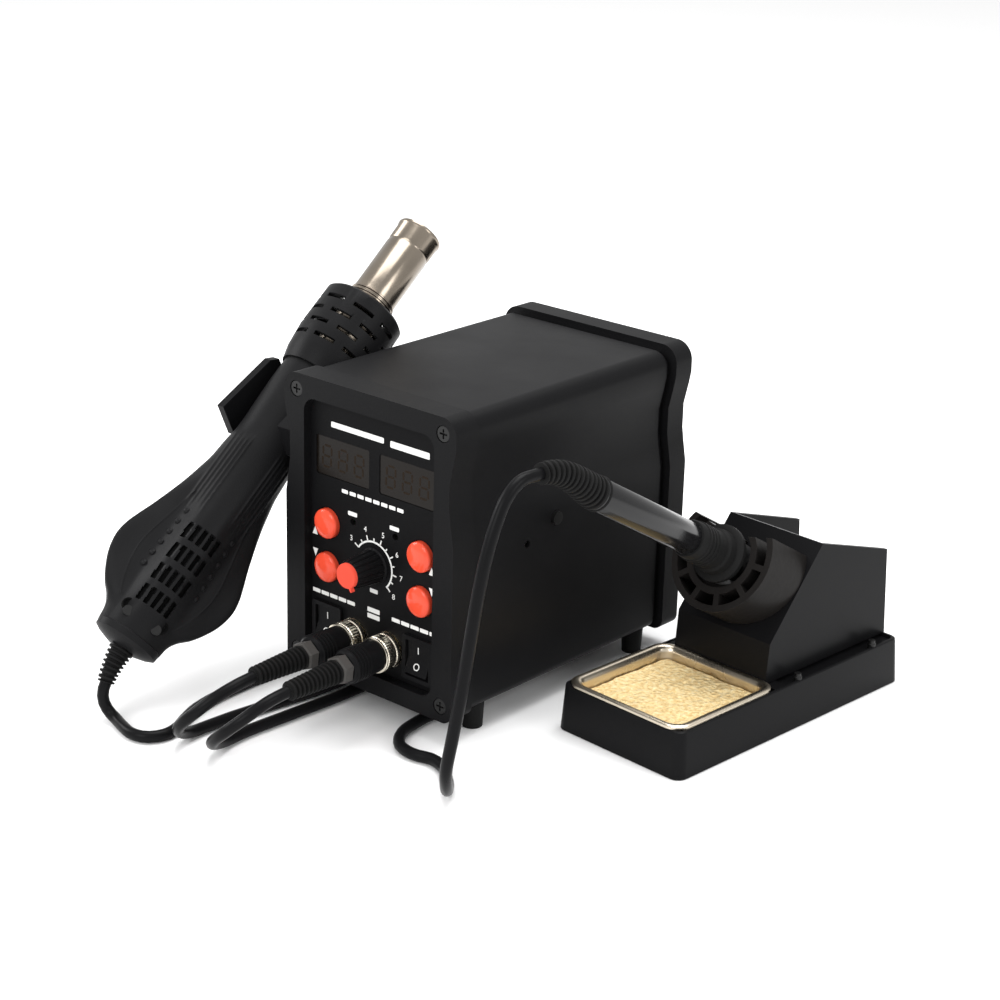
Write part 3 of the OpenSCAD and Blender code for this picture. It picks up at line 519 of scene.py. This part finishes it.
def print_marks():
    """Light printing on the panel: plain bars, arrows, dial arc, ticks and numbers."""
    marks = []

    def bar(x0, x1, z0, z1, r=0.4, mat="white"):
        o = slab("mark", round_box(x1 - x0, z1 - z0, min(r, (z1 - z0) / 2 - 0.01), 3), -0.05, 0.12, mat, None,
                 on_panel((x0 + x1) / 2, (z0 + z1) / 2))
        marks.append(o)

    bar(-24.6, 5.4, 120.4, 122.8, 0.5)
    bar(9, 30.6, 119.8, 122.6, 0.5)
    for k in range(8):
        bar(-18.4 + 4.5 * k, -14.9 + 4.5 * k, 93.4, 95.0, 0.3)
    for x in (-12.2, 11.6):
        bar(x - 2.6, x + 2.6, 84.6, 86.4, 0.4)
    for k in range(5):
        bar(-35.6 + 5.1 * k, -31.2 + 5.1 * k, 44.7, 46.4, 0.3)
        bar(10.6 + 5.3 * k, 15.2 + 5.3 * k, 44.6, 46.3, 0.3)
    bar(-3.4, 3.6, 45.0, 47.0, 0.3)
    bar(-3.4, 3.6, 42.2, 44.2, 0.3)
    bar(-2, 2.4, 53.9, 55.7, 0.3)
    for x, z, s in ((-34.2, 72.4, 1), (-34.0, 62.9, -1), (32.5, 72.6, 1), (32.7, 63.8, -1)):
        marks.append(slab("mark", [(-1.5, -1.6 * s), (1.5, -1.6 * s), (0, 1.9 * s)], -0.05, 0.12,
            "white", None, on_panel(x, z)))
    outer = [(10.9 * math.cos(math.radians(a)), 10.9 * math.sin(math.radians(a))) for a in range(-46, 148, 4)]
    inner = [(10.1 * math.cos(math.radians(a)), 10.1 * math.sin(math.radians(a))) for a in range(146,
        -47, -4)]
    n = len(outer)
    verts = [mm(x, y, 0.12) for x, y in outer] + [mm(x, y, 0.12) for x, y in reversed(inner)]
    m = min(n, len(inner))
    faces = [(i, i + 1, n + i + 1, n + i) for i in range(m - 1)]
    marks.append(piece("mark", verts, faces, "white", None, 0, on_panel(0, 66)))
    for k in range(11):
        a = math.radians(146 - 18.9 * k)
        long = 2.4 if k % 2 == 0 else 1.5
        c, s = math.cos(a), math.sin(a)
        pts = [(10.6, -0.28), (10.6 + long, -0.28), (10.6 + long, 0.28), (10.6, 0.28)]
        marks.append(slab("mark", [(x * c - y * s, x * s + y * c) for x, y in pts], -0.05, 0.12,
            "white", None, on_panel(0, 66)))
    for text, a in (("3", 146), ("4", 108.2), ("5", 70.4), ("6", 32.6), ("7", -5.2), ("8", -43)):
        marks.append(numeral(text, 2.5, 15.6 * math.cos(math.radians(a)),
            66 + 15.6 * math.sin(math.radians(a)), 4.0))
    return merge("panel_marks", marks, "root")


def numeral(text, size, x, z, y, mat="white"):
    data = bpy.data.curves.new("numeral", "FONT")
    data.body, data.size = text, size / 1000 * 1.35
    data.align_x, data.align_y = "CENTER", "CENTER"
    data.extrude = 0.00006
    tmp = bpy.data.objects.new("numeral", data)
    bpy.context.scene.collection.objects.link(tmp)
    bpy.context.view_layer.update()
    mesh = bpy.data.meshes.new_from_object(tmp.evaluated_get(bpy.context.evaluated_depsgraph_get()))
    bpy.data.objects.remove(tmp)
    mesh.transform(on_panel(x, z, y))
    mesh.materials.clear()
    return dressed("numeral", mesh, mat, None, 0)


print_marks()


def displays():
    """Smoked windows with the unlit digits just showing."""
    for side, x in (("left", -18.2), ("right", 18.2)):
        glass = slab(f"window_{side}", round_box(30.3, 16.8, 0.9), -1.6, 0, "window", "root",
            on_panel(x, 106.9, 4.35), 0.15)
        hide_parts("display_windows")
        bars = []
        for k in (-1, 0, 1):
            for sx, sz, w, h in (
                (0, 4.6, 3.6, 0.95), (0, 0, 3.6, 0.95), (0, -4.6, 3.6, 0.95),
                (-2.4, 2.3, 0.95, 3.6), (2.4, 2.3, 0.95, 3.6), (-2.4, -2.3, 0.95, 3.6), (2.4, -2.3,
                    0.95, 3.6),
            ):
                slant = 0.08 * sz
                bars.append(slab("seg", round_box(w, h, 0.4, 2), 0, 0.03, "segment", None,
                    on_panel(x + 9.2 * k + sx + slant, 106.9 + sz, 4.35)))
        merge(f"digits_{side}", bars, "root")


displays()


def buttons():
    for name, x, z in (
        ("button_iron_up", -26.6, 77.7), ("button_iron_down", -26.6, 58.1),
        ("button_air_up", 26.6, 77.7), ("button_air_down", 26.6, 58.1),
    ):
        profile = [(0, 3.45)] + [(6.5 * math.sin(math.radians(a)),
            1.35 + 2.1 * math.cos(math.radians(a))) for a in range(10, 91, 8)]
        profile += [(6.5, 1.2), (6.5, -2.2), (7.5, -2.3), (7.5, -3.4), (1.5, -3.4), (1.5, -7), (0, -7)]
        cap = lathe(name + "_cap", profile, "red", name, on_panel(x, z), 64, 50)
        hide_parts(name)


buttons()


def knob():
    """Fluted body tapering to a red cap with a pointer."""
    verts, faces, n = [], [], 16 * 8
    profile = [(7.9, -2.0), (7.9, 0.4), (7.2, 0.9), (6.3, 13.6), (5.9, 14.6), (5.5, 14.8), (5.5, 14.4),
        (0.01, 14.4)]
    for i, (r, h) in enumerate(profile):
        for k in range(n):
            a = 2 * math.pi * k / n
            cut = 0.5 * max(0.0, math.cos(16 * a)) if 2 <= i <= 4 else 0.0
            verts.append(mm((r - cut) * math.cos(a), (r - cut) * math.sin(a), h))
    for i in range(len(profile) - 1):
        faces += [(i * n + k, i * n + (k + 1) % n, (i + 1) * n + (k + 1) % n,
            (i + 1) * n + k) for k in range(n)]
    faces.append(tuple(range(n - 1, -1, -1)))
    body = piece("knob_body", verts, faces, "black", "airflow_knob", 30, on_panel(0, 66))
    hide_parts("airflow_knob")
    lathe("knob_shaft", [(0, -7.5), (3, -7.5), (3, -1.9), (0, -1.9)], "steel", "airflow_knob",
        on_panel(0, 66), 32)
    cap = lathe("knob_cap_disc", [(0, 14.3), (5.4, 14.3), (5.4, 15.9), (5.1, 16.4), (0, 16.5)], "cap",
        "airflow_knob", on_panel(0, 66), 64)
    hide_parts("knob_cap")
    turn = on_panel(0, 66) @ Matrix.Rotation(math.radians(-62), 4, "Z")
    slab("knob_pointer", [(4.4, -0.7), (7.0, -0.35), (7.0, 0.35), (4.4, 0.7)], 14.4, 16.5, "cap",
        "airflow_knob", turn, 0.12)


knob()


def rockers():
    for side, s in (("iron", -1), ("air", 1)):
        outline = [(-4.2, -7), (-2.9, 0), (-4.2, 7), (3.4, 5), (4.6, 0), (3.4, -5)]
        verts = [W(s * 26.3 - 6, 6.5, 32) + Matrix.Rotation(math.radians(-9), 3, "X") @ mm(0, y,
            z) for y, z in outline]
        verts += [v + mm(12, 0, 0) for v in verts]
        n = len(outline)
        faces = [tuple(range(n)), tuple(range(2 * n - 1, n - 1, -1))] + [(i, i + n, (i + 1) % n + n,
            (i + 1) % n) for i in range(n)]
        key = piece(f"rocker_{side}_key", verts, faces, "bezel", f"rocker_{side}", 30, None, 0.3)
        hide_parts(f"rocker_{side}")
        for text, z in (("I", 3.4), ("O", -3.6)):
            o = numeral(text, 3.2, 0, 0, 0)
            base = W(s * 26.3, 6.5, 32) + Matrix.Rotation(math.radians(-9), 3, "X") @ mm(0, -3.75, z)
            o.data.transform(Matrix.Translation(-W(0, 0, 0)))
            slope = -9 + (10.5 if z > 0 else -10.5)
            o.data.transform(Matrix.Rotation(math.radians(slope), 4, "X"))
            o.data.transform(Matrix.Translation(base))
            o.name = f"rocker_{side}_sign_{'on' if z > 0 else 'off'}"
            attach(o, f"rocker_{side}")


rockers()


# ---------- connectors ----------
def connectors():
    for side, x in (("iron", -10), ("air", 10)):
        m = on_panel(x, 32, 0)
        # knurled ring: height is -Y
        verts, faces, n = [], [], 180
        profile = [(7.3, -2.3), (7.75, -1.9), (7.75, -0.4), (7.3, 0.0), (7.3, 0.5), (7.75, 0.8), (7.75,
            4.4), (7.3, 4.7), (7.3, 5.0), (7.7, 5.3), (7.7, 5.8), (7.3, 6.0), (5.9, 6.0), (5.9, 4.4)]
        for i, (r, h) in enumerate(profile):
            for k in range(n):
                a = 2 * math.pi * k / n
                knurl = 0.22 * abs(math.sin(45 * a / 2 + h * 1.6)) if i in (1, 2, 5, 6) else 0
                verts.append(mm((r - knurl) * math.cos(a), (r - knurl) * math.sin(a), h))
        for i in range(len(profile) - 1):
            faces += [(i * n + k, i * n + (k + 1) % n, (i + 1) * n + (k + 1) % n,
                (i + 1) * n + k) for k in range(n)]
        ring = piece(f"ring_{side}", verts, faces, "nickel", f"coupling_ring_{side}", 28, m)
        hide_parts(f"coupling_ring_{side}")
        shell = [(0, -3.4), (4.9, -3.4), (4.9, 3.4), (6.1, 3.4), (6.1, 4.3), (5.6, 4.3), (5.6, 6.2),
            (6.7, 6.2), (7, 6.6), (7, 13.4)]
        for k in range(5):
            h = 13.6 + 1.75 * k
            shell += [(7.0, h), (7.5, h + 0.25), (7.5, h + 0.95), (7.0, h + 1.2)]
        shell += [(6.7, 22.6), (6.2, 23.2), (0, 23.2)]
        body = lathe(f"plug_{side}", shell, "black", "root", m, 64)
        lathe(f"clamp_{side}", [(0, 22.8), (5.9, 22.8), (6.3, 23.3), (6.3, 27.4), (5.7, 28.1), (0,
            28.1)], "grey", "root", m @ Matrix.Rotation(0.4, 4, "Z"), 6, 20)
        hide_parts(f"{side}_plug")
        boot = [(0, 27.6)]
        for k in range(12):
            h, r = 28 + 27 / 12 * k, 5.2 - 0.1 * k
            boot += [(r - 1.25, h), (r - 0.15, h + 0.25), (r, h + 0.65), (r - 0.15, h + 1.1), (r - 1.25,
                h + 1.4)]
        boot += [(3.0, 54.9), (2.6, 55), (0, 55)]
        sleeve = lathe(f"plug_boot_{side}", boot, "rubber", "root", m, 48, 40)
        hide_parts(f"{side}_plug_boot")


connectors()


# ---------- hot-air handle ----------
ROWS = [
    (85, 15.6, 15.2, 15.2), (97, 15.6, 15.2, 15.2), (110, 15.2, 15, 15), (122, 14.9, 15, 15),
    (130, 15.8, 15.2, 15.2), (140, 16.6, 15.6, 15.6), (147, 17.9, 16, 16), (154, 19.4, 16.6, 16.8),
    (160, 21, 17.2, 17.8), (166, 22.8, 17.8, 18.8), (172, 24.7, 18.2, 19.8), (179, 27.2, 18.4, 20.6),
    (185, 29, 18.2, 21), (191, 29.6, 17.6, 21), (198, 28.3, 16.6, 20.4), (204, 25.7, 15.4, 19.2),
    (210, 21.9, 13.8, 17.4), (214, 18.1, 12.6, 15.8), (218, 15.9, 11.8, 14.2), (224, 14.9, 11.2, 13),
]


def row_at(t):
    """Half width, face height, back depth at t, on a smooth curve through the rows."""
    rows = ROWS
    i = max(j for j in range(len(rows) - 1) if rows[j][0] <= t or j == 0)
    a, b = rows[i], rows[i + 1]
    before, after = rows[max(i - 1, 0)], rows[min(i + 2, len(rows) - 1)]
    f = (t - a[0]) / (b[0] - a[0])
    out = []
    for c in (1, 2, 3):
        span = b[0] - a[0]
        m1 = (b[c] - before[c]) / (b[0] - before[0]) * span
        m2 = (after[c] - a[c]) / (after[0] - a[0]) * span
        out.append((2 * f**3 - 3 * f**2 + 1) * a[c] +
            (f**3 - 2 * f**2 + f) * m1 + (-2 * f**3 + 3 * f**2) * b[c] + (f**3 - f**2) * m2)
    return out


def smooth_step(v, lo, hi):
    f = min(1, max(0, (v - lo) / (hi - lo)))
    return f * f * (3 - 2 * f)


def face_height(t, x):
    """Height of the vented face over the wing plane at x across and t along."""
    half, tall, _ = row_at(t)
    u = min(1, abs(x) / half)
    flat = math.sqrt(max(0, 1 - u * u))
    s = smooth_step(t, 134, 168)
    hump = math.exp(-((abs(x) / 11.8) ** 4))
    wing = 4.2 * flat**0.7 + 2.2 * math.exp(-(((abs(x) - 17) / 5.0) ** 2)) * flat
    raised = hump * tall * math.sqrt(max(0,
        1 - 0.25 * (x / 11.8) ** 2 if abs(x) < 11.8 else 0.75)) + wing * (1 - hump)
    high = (1 - s) * tall * flat + s * max(wing * 0.999, raised)
    if t > 124 and t < 170:  # grip ribs along both flanks
        fade = smooth_step(t, 124, 130) * (1 - smooth_step(t, 160, 170))
        for k in range(5):
            high += 0.55 * fade * math.exp(-(((abs(x) - 7.0 - 1.75 * k) / 0.5) ** 2))
    return high


def back_height(t, x):
    half, _, deep = row_at(t)
    u = min(1, abs(x) / half)
    flat = math.sqrt(max(0, 1 - u * u))
    s = smooth_step(t, 134, 168)
    back = math.exp(-((abs(x) / 20) ** 4))
    return (1 - s) * deep * flat + s * (back * deep + 4.2 * (1 - back)) * flat**0.6


def in_slot(t, x):
    """True inside one of the vent slots: four rows of five, on the raised spine."""
    for j in range(4):
        t0 = 172.5 + 10.4 * j
        if t0 <= t <= t0 + 7.2:
            for k in range(5):
                c = -6.8 + 3.4 * k
                if abs(x - c) < 0.85:
                    return True
    return False


def handle_shells():
    across, along = 150, 300
    for name, side, height in (("face", -1, face_height), ("back", 1, back_height)):
        verts, faces = [], []
        for j in range(along + 1):
            t = 85 + 139 * j / along
            half = row_at(t)[0]
            for i in range(across + 1):
                u = -math.cos(math.pi * i / across)
                x = half * u
                h = max(0.0, height(t, x))
                if name == "face":
                    if in_slot(t, x):
                        h -= 1.9
                    line = abs(abs(x) - (0.62 * half + 1.0))
                    if 158 < t < 212 and half > 20 and line < 0.5:
                        h += 0.35 * (1 - line / 0.5)
                verts.append(mm(x, side * h, -t))
        w = across + 1
        for j in range(along):
            for i in range(across):
                faces.append((j * w + i, j * w + i + 1, (j + 1) * w + i + 1, (j + 1) * w + i))
        # the third finish, the light painted edge highlight, is on no face
        obj = piece(f"shell_{name}", verts, faces, ["handle", "hole", "painted_edge_highlight"], "air_handle", 50, AT_SHELL)
        if name == "face":
            for p in obj.data.polygons:
                j, i = divmod(p.index, across)
                t = 85 + 139 * (j + 0.5) / along
                half = row_at(t)[0]
                x = half * -math.cos(math.pi * (i + 0.5) / across)
                if in_slot(t, x):
                    # slot faces get the near-black painted shade
                    p.material_index = 1
        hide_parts(f"handle_shell_{name}")


handle_shells()


def handle_details():
    # small bumps beside the spine
    for s in (-1, 1):
        dots = []
        for k in range(6):
            t, x = 168 + 5.6 * k, s * (11.6 + 0.35 * k)
            h = face_height(t, x)
            m = AT_SHELL @ Matrix.Translation(mm(x, -h - 0.1, -t)) @ Matrix.Rotation(math.radians(90),
                4, "X") @ Matrix.Rotation(s * 0.9, 4, "Y")
            prof = [(0, 0.9)] + [(1.5 * math.sin(math.radians(a)),
                0.9 * math.cos(math.radians(a))) for a in (25, 50, 75)] + [(1.5, -1.2), (0, -1.2)]
            dots.append(lathe("dot", prof, "handle", None, m, 20, 60))
        merge("shell_bumps_" + ("left" if s < 0 else "right"), dots, "air_handle")
    # screw wells near the tail, in near-black painted shade
    for s in (-1, 1):
        x, t = s * 8.4, 214.5
        h = face_height(t, x)
        m = AT_SHELL @ Matrix.Translation(mm(x, -h, -t)) @ Matrix.Rotation(math.radians(90), 4, "X")
        lathe("screw_well_" + ("left" if s < 0 else "right"), [(0, -0.2), (1.7, -0.2), (1.9, 0.35),
            (2.5, 0.45), (2.7, 0.1), (2.8, -1.5), (0, -1.5)], "hole", "air_handle", m, 32)
    # tail flange
    m = AT_SHELL
    tail = [(0, -223), (14.3, -223), (14.9, -223.6), (14.6, -226.4), (12.4, -227.6), (9.4, -228.6),
        (6.8, -229.4), (0, -229.6)]
    lathe("tail_cap", tail, "handle", "air_handle", m @ Matrix.Scale(0.8, 4, Vector((0, 1, 0))), 64)
    # ribbed boot, bending down
    line = spline([W(-73, y, z) for y, z in ((-66, 32.6), (-69.6, 29.4), (-72.6, 26.4), (-75.2, 23.2),
        (-77.4, 20), (-78.7, 17.3))], 0.00022)
    radii = []
    for i in range(len(line)):
        f = i / (len(line) - 1)
        ring = 0.5 + 0.5 * math.cos(2 * math.pi * f * 10)
        radii.append((6.2 - 2.6 * f - 1.1 * (1 - smooth_step(ring, 0.25, 0.6))) / 1000)
    boot = tube("handle_boot_ribs", line, 0, "rubber", "air_handle", 32, radii, 45)
    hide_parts("handle_boot")


handle_details()


def nozzle():
    r = 10.4
    prof = [(9.2, -84), (10, -84), (10, -47)]
    prof += [(r, -45)]
    for k in range(4):
        h = -44.4 + 1.6 * k
        prof += [(r - 0.1, h), (r + 0.35, h + 0.4), (r + 0.35, h + 0.8), (r - 0.1, h + 1.2)]
    prof += [(r - 0.2, -36), (r - 0.2, -11.6), (r - 0.5, -11), (r - 0.5, -10.2), (r - 0.15, -9.6),
        (r - 0.1, -2.4), (r + 0.25, -1.8), (r + 0.3, -0.8), (r, -0.1), (r - 0.7, 0.1), (r - 1.3, -0.4),
        (9.2, -3), (9.2, -84)]
    obj = lathe("nozzle_sleeve", prof, "nozzle", "air_handle", AT_HANDLE, 96, 30)
    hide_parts("nozzle_tube")


nozzle()


# ---------- iron stand ----------
def stand_body():
    """Hollow base: tapered block, rounded corners, raised rim round the tray and a sunk deck behind."""
    verts, faces = [], []

    def ring(inset, z, r):
        return [mm(x, y + 73.5, z) for x, y in round_box(68 - 2 * inset, 147 - 2 * inset, r, 8)]

    n = len(round_box(1, 1, 0.1, 8))
    levels = [(0.5, 0.0, 4.5), (0.0, 0.5, 5), (1.25, 19.2, 4.2), (1.45, 20.2, 4.0), (2.1, 20.6, 3.6),
        (3.0, 20.6, 3.0)]
    for inset, z, r in levels:
        verts += ring(inset, z, r)
    for i in range(len(levels) - 1):
        faces += [(i * n + k, i * n + (k + 1) % n, (i + 1) * n + (k + 1) % n,
            (i + 1) * n + k) for k in range(n)]
    # inner wall of the rim down to the deck
    base = len(verts)
    deep = [(3.0, 20.6, 3.0), (3.2, 18.9, 2.8)]
    for inset, z, r in deep:
        verts += ring(inset, z, r)
    faces += [(base + k, base + (k + 1) % n, base + n + (k + 1) % n, base + n + k) for k in range(n)]
    obj = piece("stand_base_walls", verts, faces, "stand", "stand", 40, AT_STAND)
    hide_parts("stand_base")
    slab("stand_base_deck", round_box(61.8, 82.4, 2.5, 4, 0, 103.6), 16.6, 18.9, "stand", "stand",
        AT_STAND, 0.2)
    slab("stand_base_bridge", round_box(62, 7.0, 1.0, 4, 0, 66.6), 12, 20.3, "stand", "stand", AT_STAND, 0.3)
    slab("stand_base_underside", round_box(66.4, 145.4, 4, 6, 0, 73.5), 0.3, 1.1, "rubber", "stand", AT_STAND)
    for x, y in ((30.2, 129), (-30.2, 129), (30.2, 78), (-30.2, 78)):
        name = f"stand_post_{'r' if x > 0 else 'l'}{'r' if y > 100 else 'f'}"
        lathe(name, [(0, 18.8), (1.9, 18.8), (1.9, 21.6), (1.5, 22.0), (1.5, 23.2), (0, 23.4)], "screw",
            "stand",
              AT_STAND @ Matrix.Translation(mm(x, y, 0)), 24)


stand_body()


def tray():
    """Pressed stainless tray: rolled rim, filleted well."""
    levels = [
        (60.6, 59.8, 6.6, 20.75), (62, 61.2, 7, 20.95), (62, 61.2, 7, 21.35), (61.2, 60.4, 6.8,
            21.65), (58.6, 58.8, 6.2, 21.6),
        (56.6, 57.0, 5.8, 21.1), (55.6, 56.2, 5.6, 19.4), (54.8, 55.4, 5.4, 9.5), (52.4, 53, 4.6,
            7.6), (48, 48.6, 3.2, 7.2), (1, 1, 0.3, 7.2),
    ]
    n = len(round_box(1, 1, 0.1, 10))
    verts, faces = [], []
    for w, d, r, z in levels:
        verts += [mm(x, y + 32.5, z) for x, y in round_box(w, d, r, 10)]
    for i in range(len(levels) - 1):
        faces += [(i * n + k, i * n + (k + 1) % n, (i + 1) * n + (k + 1) % n,
            (i + 1) * n + k) for k in range(n)]
    faces.append(tuple(range((len(levels) - 1) * n, len(levels) * n)))
    obj = piece("tray_pressing", verts, faces, "steel", "sponge_tray", 50, AT_STAND)
    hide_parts("sponge_tray")
    mod = obj.modifiers.new("sheet", "SOLIDIFY")
    mod.thickness, mod.offset = 0.0006, 1


tray()


def sponge():
    """Damp cellulose block: rounded upright corners, lumpy pebbled top."""
    import random

    rng = random.Random(4)
    nx, ny = 110, 112
    w, d, r = 52.0, 53.0, 6.5
    spots = [(rng.uniform(-w / 2, w / 2), rng.uniform(-d / 2, d / 2), rng.uniform(0.6, 1.5),
        rng.uniform(-0.9, 0.35)) for _ in range(420)]
    waves = [(rng.uniform(-0.6, 0.6), rng.uniform(-0.6, 0.6), rng.uniform(0, 6.3)) for _ in range(14)]

    def squeeze(x, y):
        """Pulls a point of the square into the rounded outline."""
        ex, ey = max(0, abs(x) - (w / 2 - r)), max(0, abs(y) - (d / 2 - r))
        reach = math.hypot(ex, ey)
        most = max(ex, ey)
        if reach > 0 and ex > 0 and ey > 0:
            ex, ey = ex * most / reach, ey * most / reach
        return math.copysign(min(abs(x), w / 2 - r) + ex, x), math.copysign(min(abs(y), d / 2 - r) + ey, y)

    def top(x, y):
        edge = min(w / 2 - abs(x), d / 2 - abs(y))
        z = 17.6 - 0.9 * math.exp(-edge / 1.2)
        z += sum(0.05 * math.sin(a * x + b * y + c) for a, b, c in waves)
        for sx, sy, sr, sh in near.get((int(x // 4), int(y // 4)), ()):
            q = ((x - sx) ** 2 + (y - sy) ** 2) / (sr * sr)
            if q < 4:
                z += 0.55 * sh * math.exp(-q)
        return z

    near = {}
    for s in spots:
        for gx in (-1, 0, 1):
            for gy in (-1, 0, 1):
                near.setdefault((int(s[0] // 4) + gx, int(s[1] // 4) + gy), []).append(s)
    verts, faces = [], []
    for j in range(ny + 1):
        for i in range(nx + 1):
            x, y = squeeze(w * (i / nx - 0.5), d * (j / ny - 0.5))
            verts.append(mm(x, y + 32.5, top(x, y)))
    q = nx + 1
    for j in range(ny):
        for i in range(nx):
            faces.append((j * q + i, j * q + i + 1, (j + 1) * q + i + 1, (j + 1) * q + i))
    loop = [i for i in range(q)] + [j * q + nx for j in range(1,
        ny + 1)] + [ny * q + i for i in range(nx - 1, -1, -1)] + [j * q for j in range(ny - 1, 0, -1)]
    last = loop
    for z, pull in ((16.4, 0.15), (13.5, -0.1), (10, 0.1), (7.9, 0.6)):
        base = len(verts)
        for v in loop:
            p = verts[v]
            x, y = p[0] * 1000, p[1] * 1000 - 32.5
            verts.append(mm(x * (1 - pull / 27), y * (1 - pull / 27) + 32.5, z))
        new = list(range(base, base + len(loop)))
        m = len(loop)
        faces += [(last[k], new[k], new[(k + 1) % m], last[(k + 1) % m]) for k in range(m)]
        last = new
    faces.append(tuple(last))
    obj = piece("sponge_block", verts, faces, "sponge", "sponge", 60, AT_STAND)
    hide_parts("sponge")


sponge()


# ---------- iron ----------
def iron():
    sleeve = [(0, -12), (7.6, -12), (8.2, -11), (8.2, 1.6), (11.4, 2.0), (12.4, 2.6), (12.4, 4.6),
        (11.6, 5.2), (9.8, 5.6), (9.5, 9.4), (8.5, 10.2), (8.2, 14)]
    for k in range(4):
        h = 15 + 2.3 * k
        sleeve += [(8.2, h), (8.65, h + 0.25), (8.65, h + 1.15), (8.2, h + 1.4)]
    sleeve += [(8.1, 26.4), (7.7, 27.4), (6.9, 27.6), (0, 27.6)]
    obj = lathe("sleeve_grip", sleeve, "rubber", "iron", AT_IRON, 64)
    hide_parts("iron_sleeve")
    pipe = [(0, 27.4), (6.7, 27.4), (6.9, 27.9), (6.9, 93.2), (6.5, 94.2), (0, 94.3)]
    obj = lathe("handle_pipe", pipe, "gloss", "iron", AT_IRON, 96)
    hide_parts("iron_tube")
    line = [AT_STAND @ mm(0, y, z) for y, z in (
        (-17.5, 117.5), (-20.3, 119.2), (-22.9, 120.9), (-25.4, 122.7), (-27.9, 124.5), (-30.4,
            126.2), (-32.9, 127.8),
        (-35.5, 129.3), (-38.2, 130.6), (-40.9, 131.6), (-43.6, 132.3), (-46.3, 132.8), (-48.9, 133))]
    line = spline(line, 0.00022)
    radii = []
    for i in range(len(line)):
        f = i / (len(line) - 1)
        ring = 0.5 + 0.5 * math.cos(2 * math.pi * f * 14)
        radii.append((7.4 - 3.1 * f - 1.2 * (1 - smooth_step(ring, 0.2, 0.55))) / 1000)
    boot = tube("iron_boot_ribs", line, 0, "rubber", "iron", 40, radii, 45)
    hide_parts("iron_boot")


iron()


# ---------- floor and light ----------
def floor():
    mesh = bpy.data.meshes.new("floor")
    mesh.from_pydata([(-3, -3, 0), (3, -3, 0), (3, 3, 0), (-3, 3, 0)], [], [(0, 1, 2, 3)])
    obj = bpy.data.objects.new("floor", mesh)
    bpy.context.scene.collection.objects.link(obj)
    mat = bpy.data.materials.new("floor")
    mat.use_nodes = True
    bsdf = mat.node_tree.nodes["Principled BSDF"]
    bsdf.inputs["Base Color"].default_value = (0.95, 0.95, 0.95, 1)
    bsdf.inputs["Roughness"].default_value = 0.9
    bsdf.inputs["Specular IOR Level"].default_value = 0.1
    mesh.materials.append(mat)


def area(name, at, to, size, power, color=(1, 1, 1), size_y=None):
    data = bpy.data.lights.new(name, "AREA")
    data.shape = "RECTANGLE"
    data.size, data.size_y = size, size_y or size
    data.energy, data.color = power, color
    obj = bpy.data.objects.new(name, data)
    obj.location = at
    obj.rotation_euler = (Vector(to) - Vector(at)).to_track_quat("-Z", "Y").to_euler()
    bpy.context.scene.collection.objects.link(obj)


floor()
area("top", (-0.1, 0.25, 1.3), (0, 0, 0.05), 0.9, 16)
area("front", (0.1, -1.4, 0.9), (0, 0, 0.08), 0.8, 10)
area("left", (-1.2, -0.5, 0.7), (0, 0, 0.08), 0.6, 8)
area("right", (1.3, 0.2, 0.9), (0.05, 0, 0.05), 0.5, 5)
world = bpy.data.worlds.new("studio")
world.use_nodes = True
world.node_tree.nodes["Background"].inputs["Color"].default_value = (1, 1, 1, 1)
world.node_tree.nodes["Background"].inputs["Strength"].default_value = 0.9
bpy.context.scene.world = world
bpy.context.scene.view_settings.view_transform = "Standard"
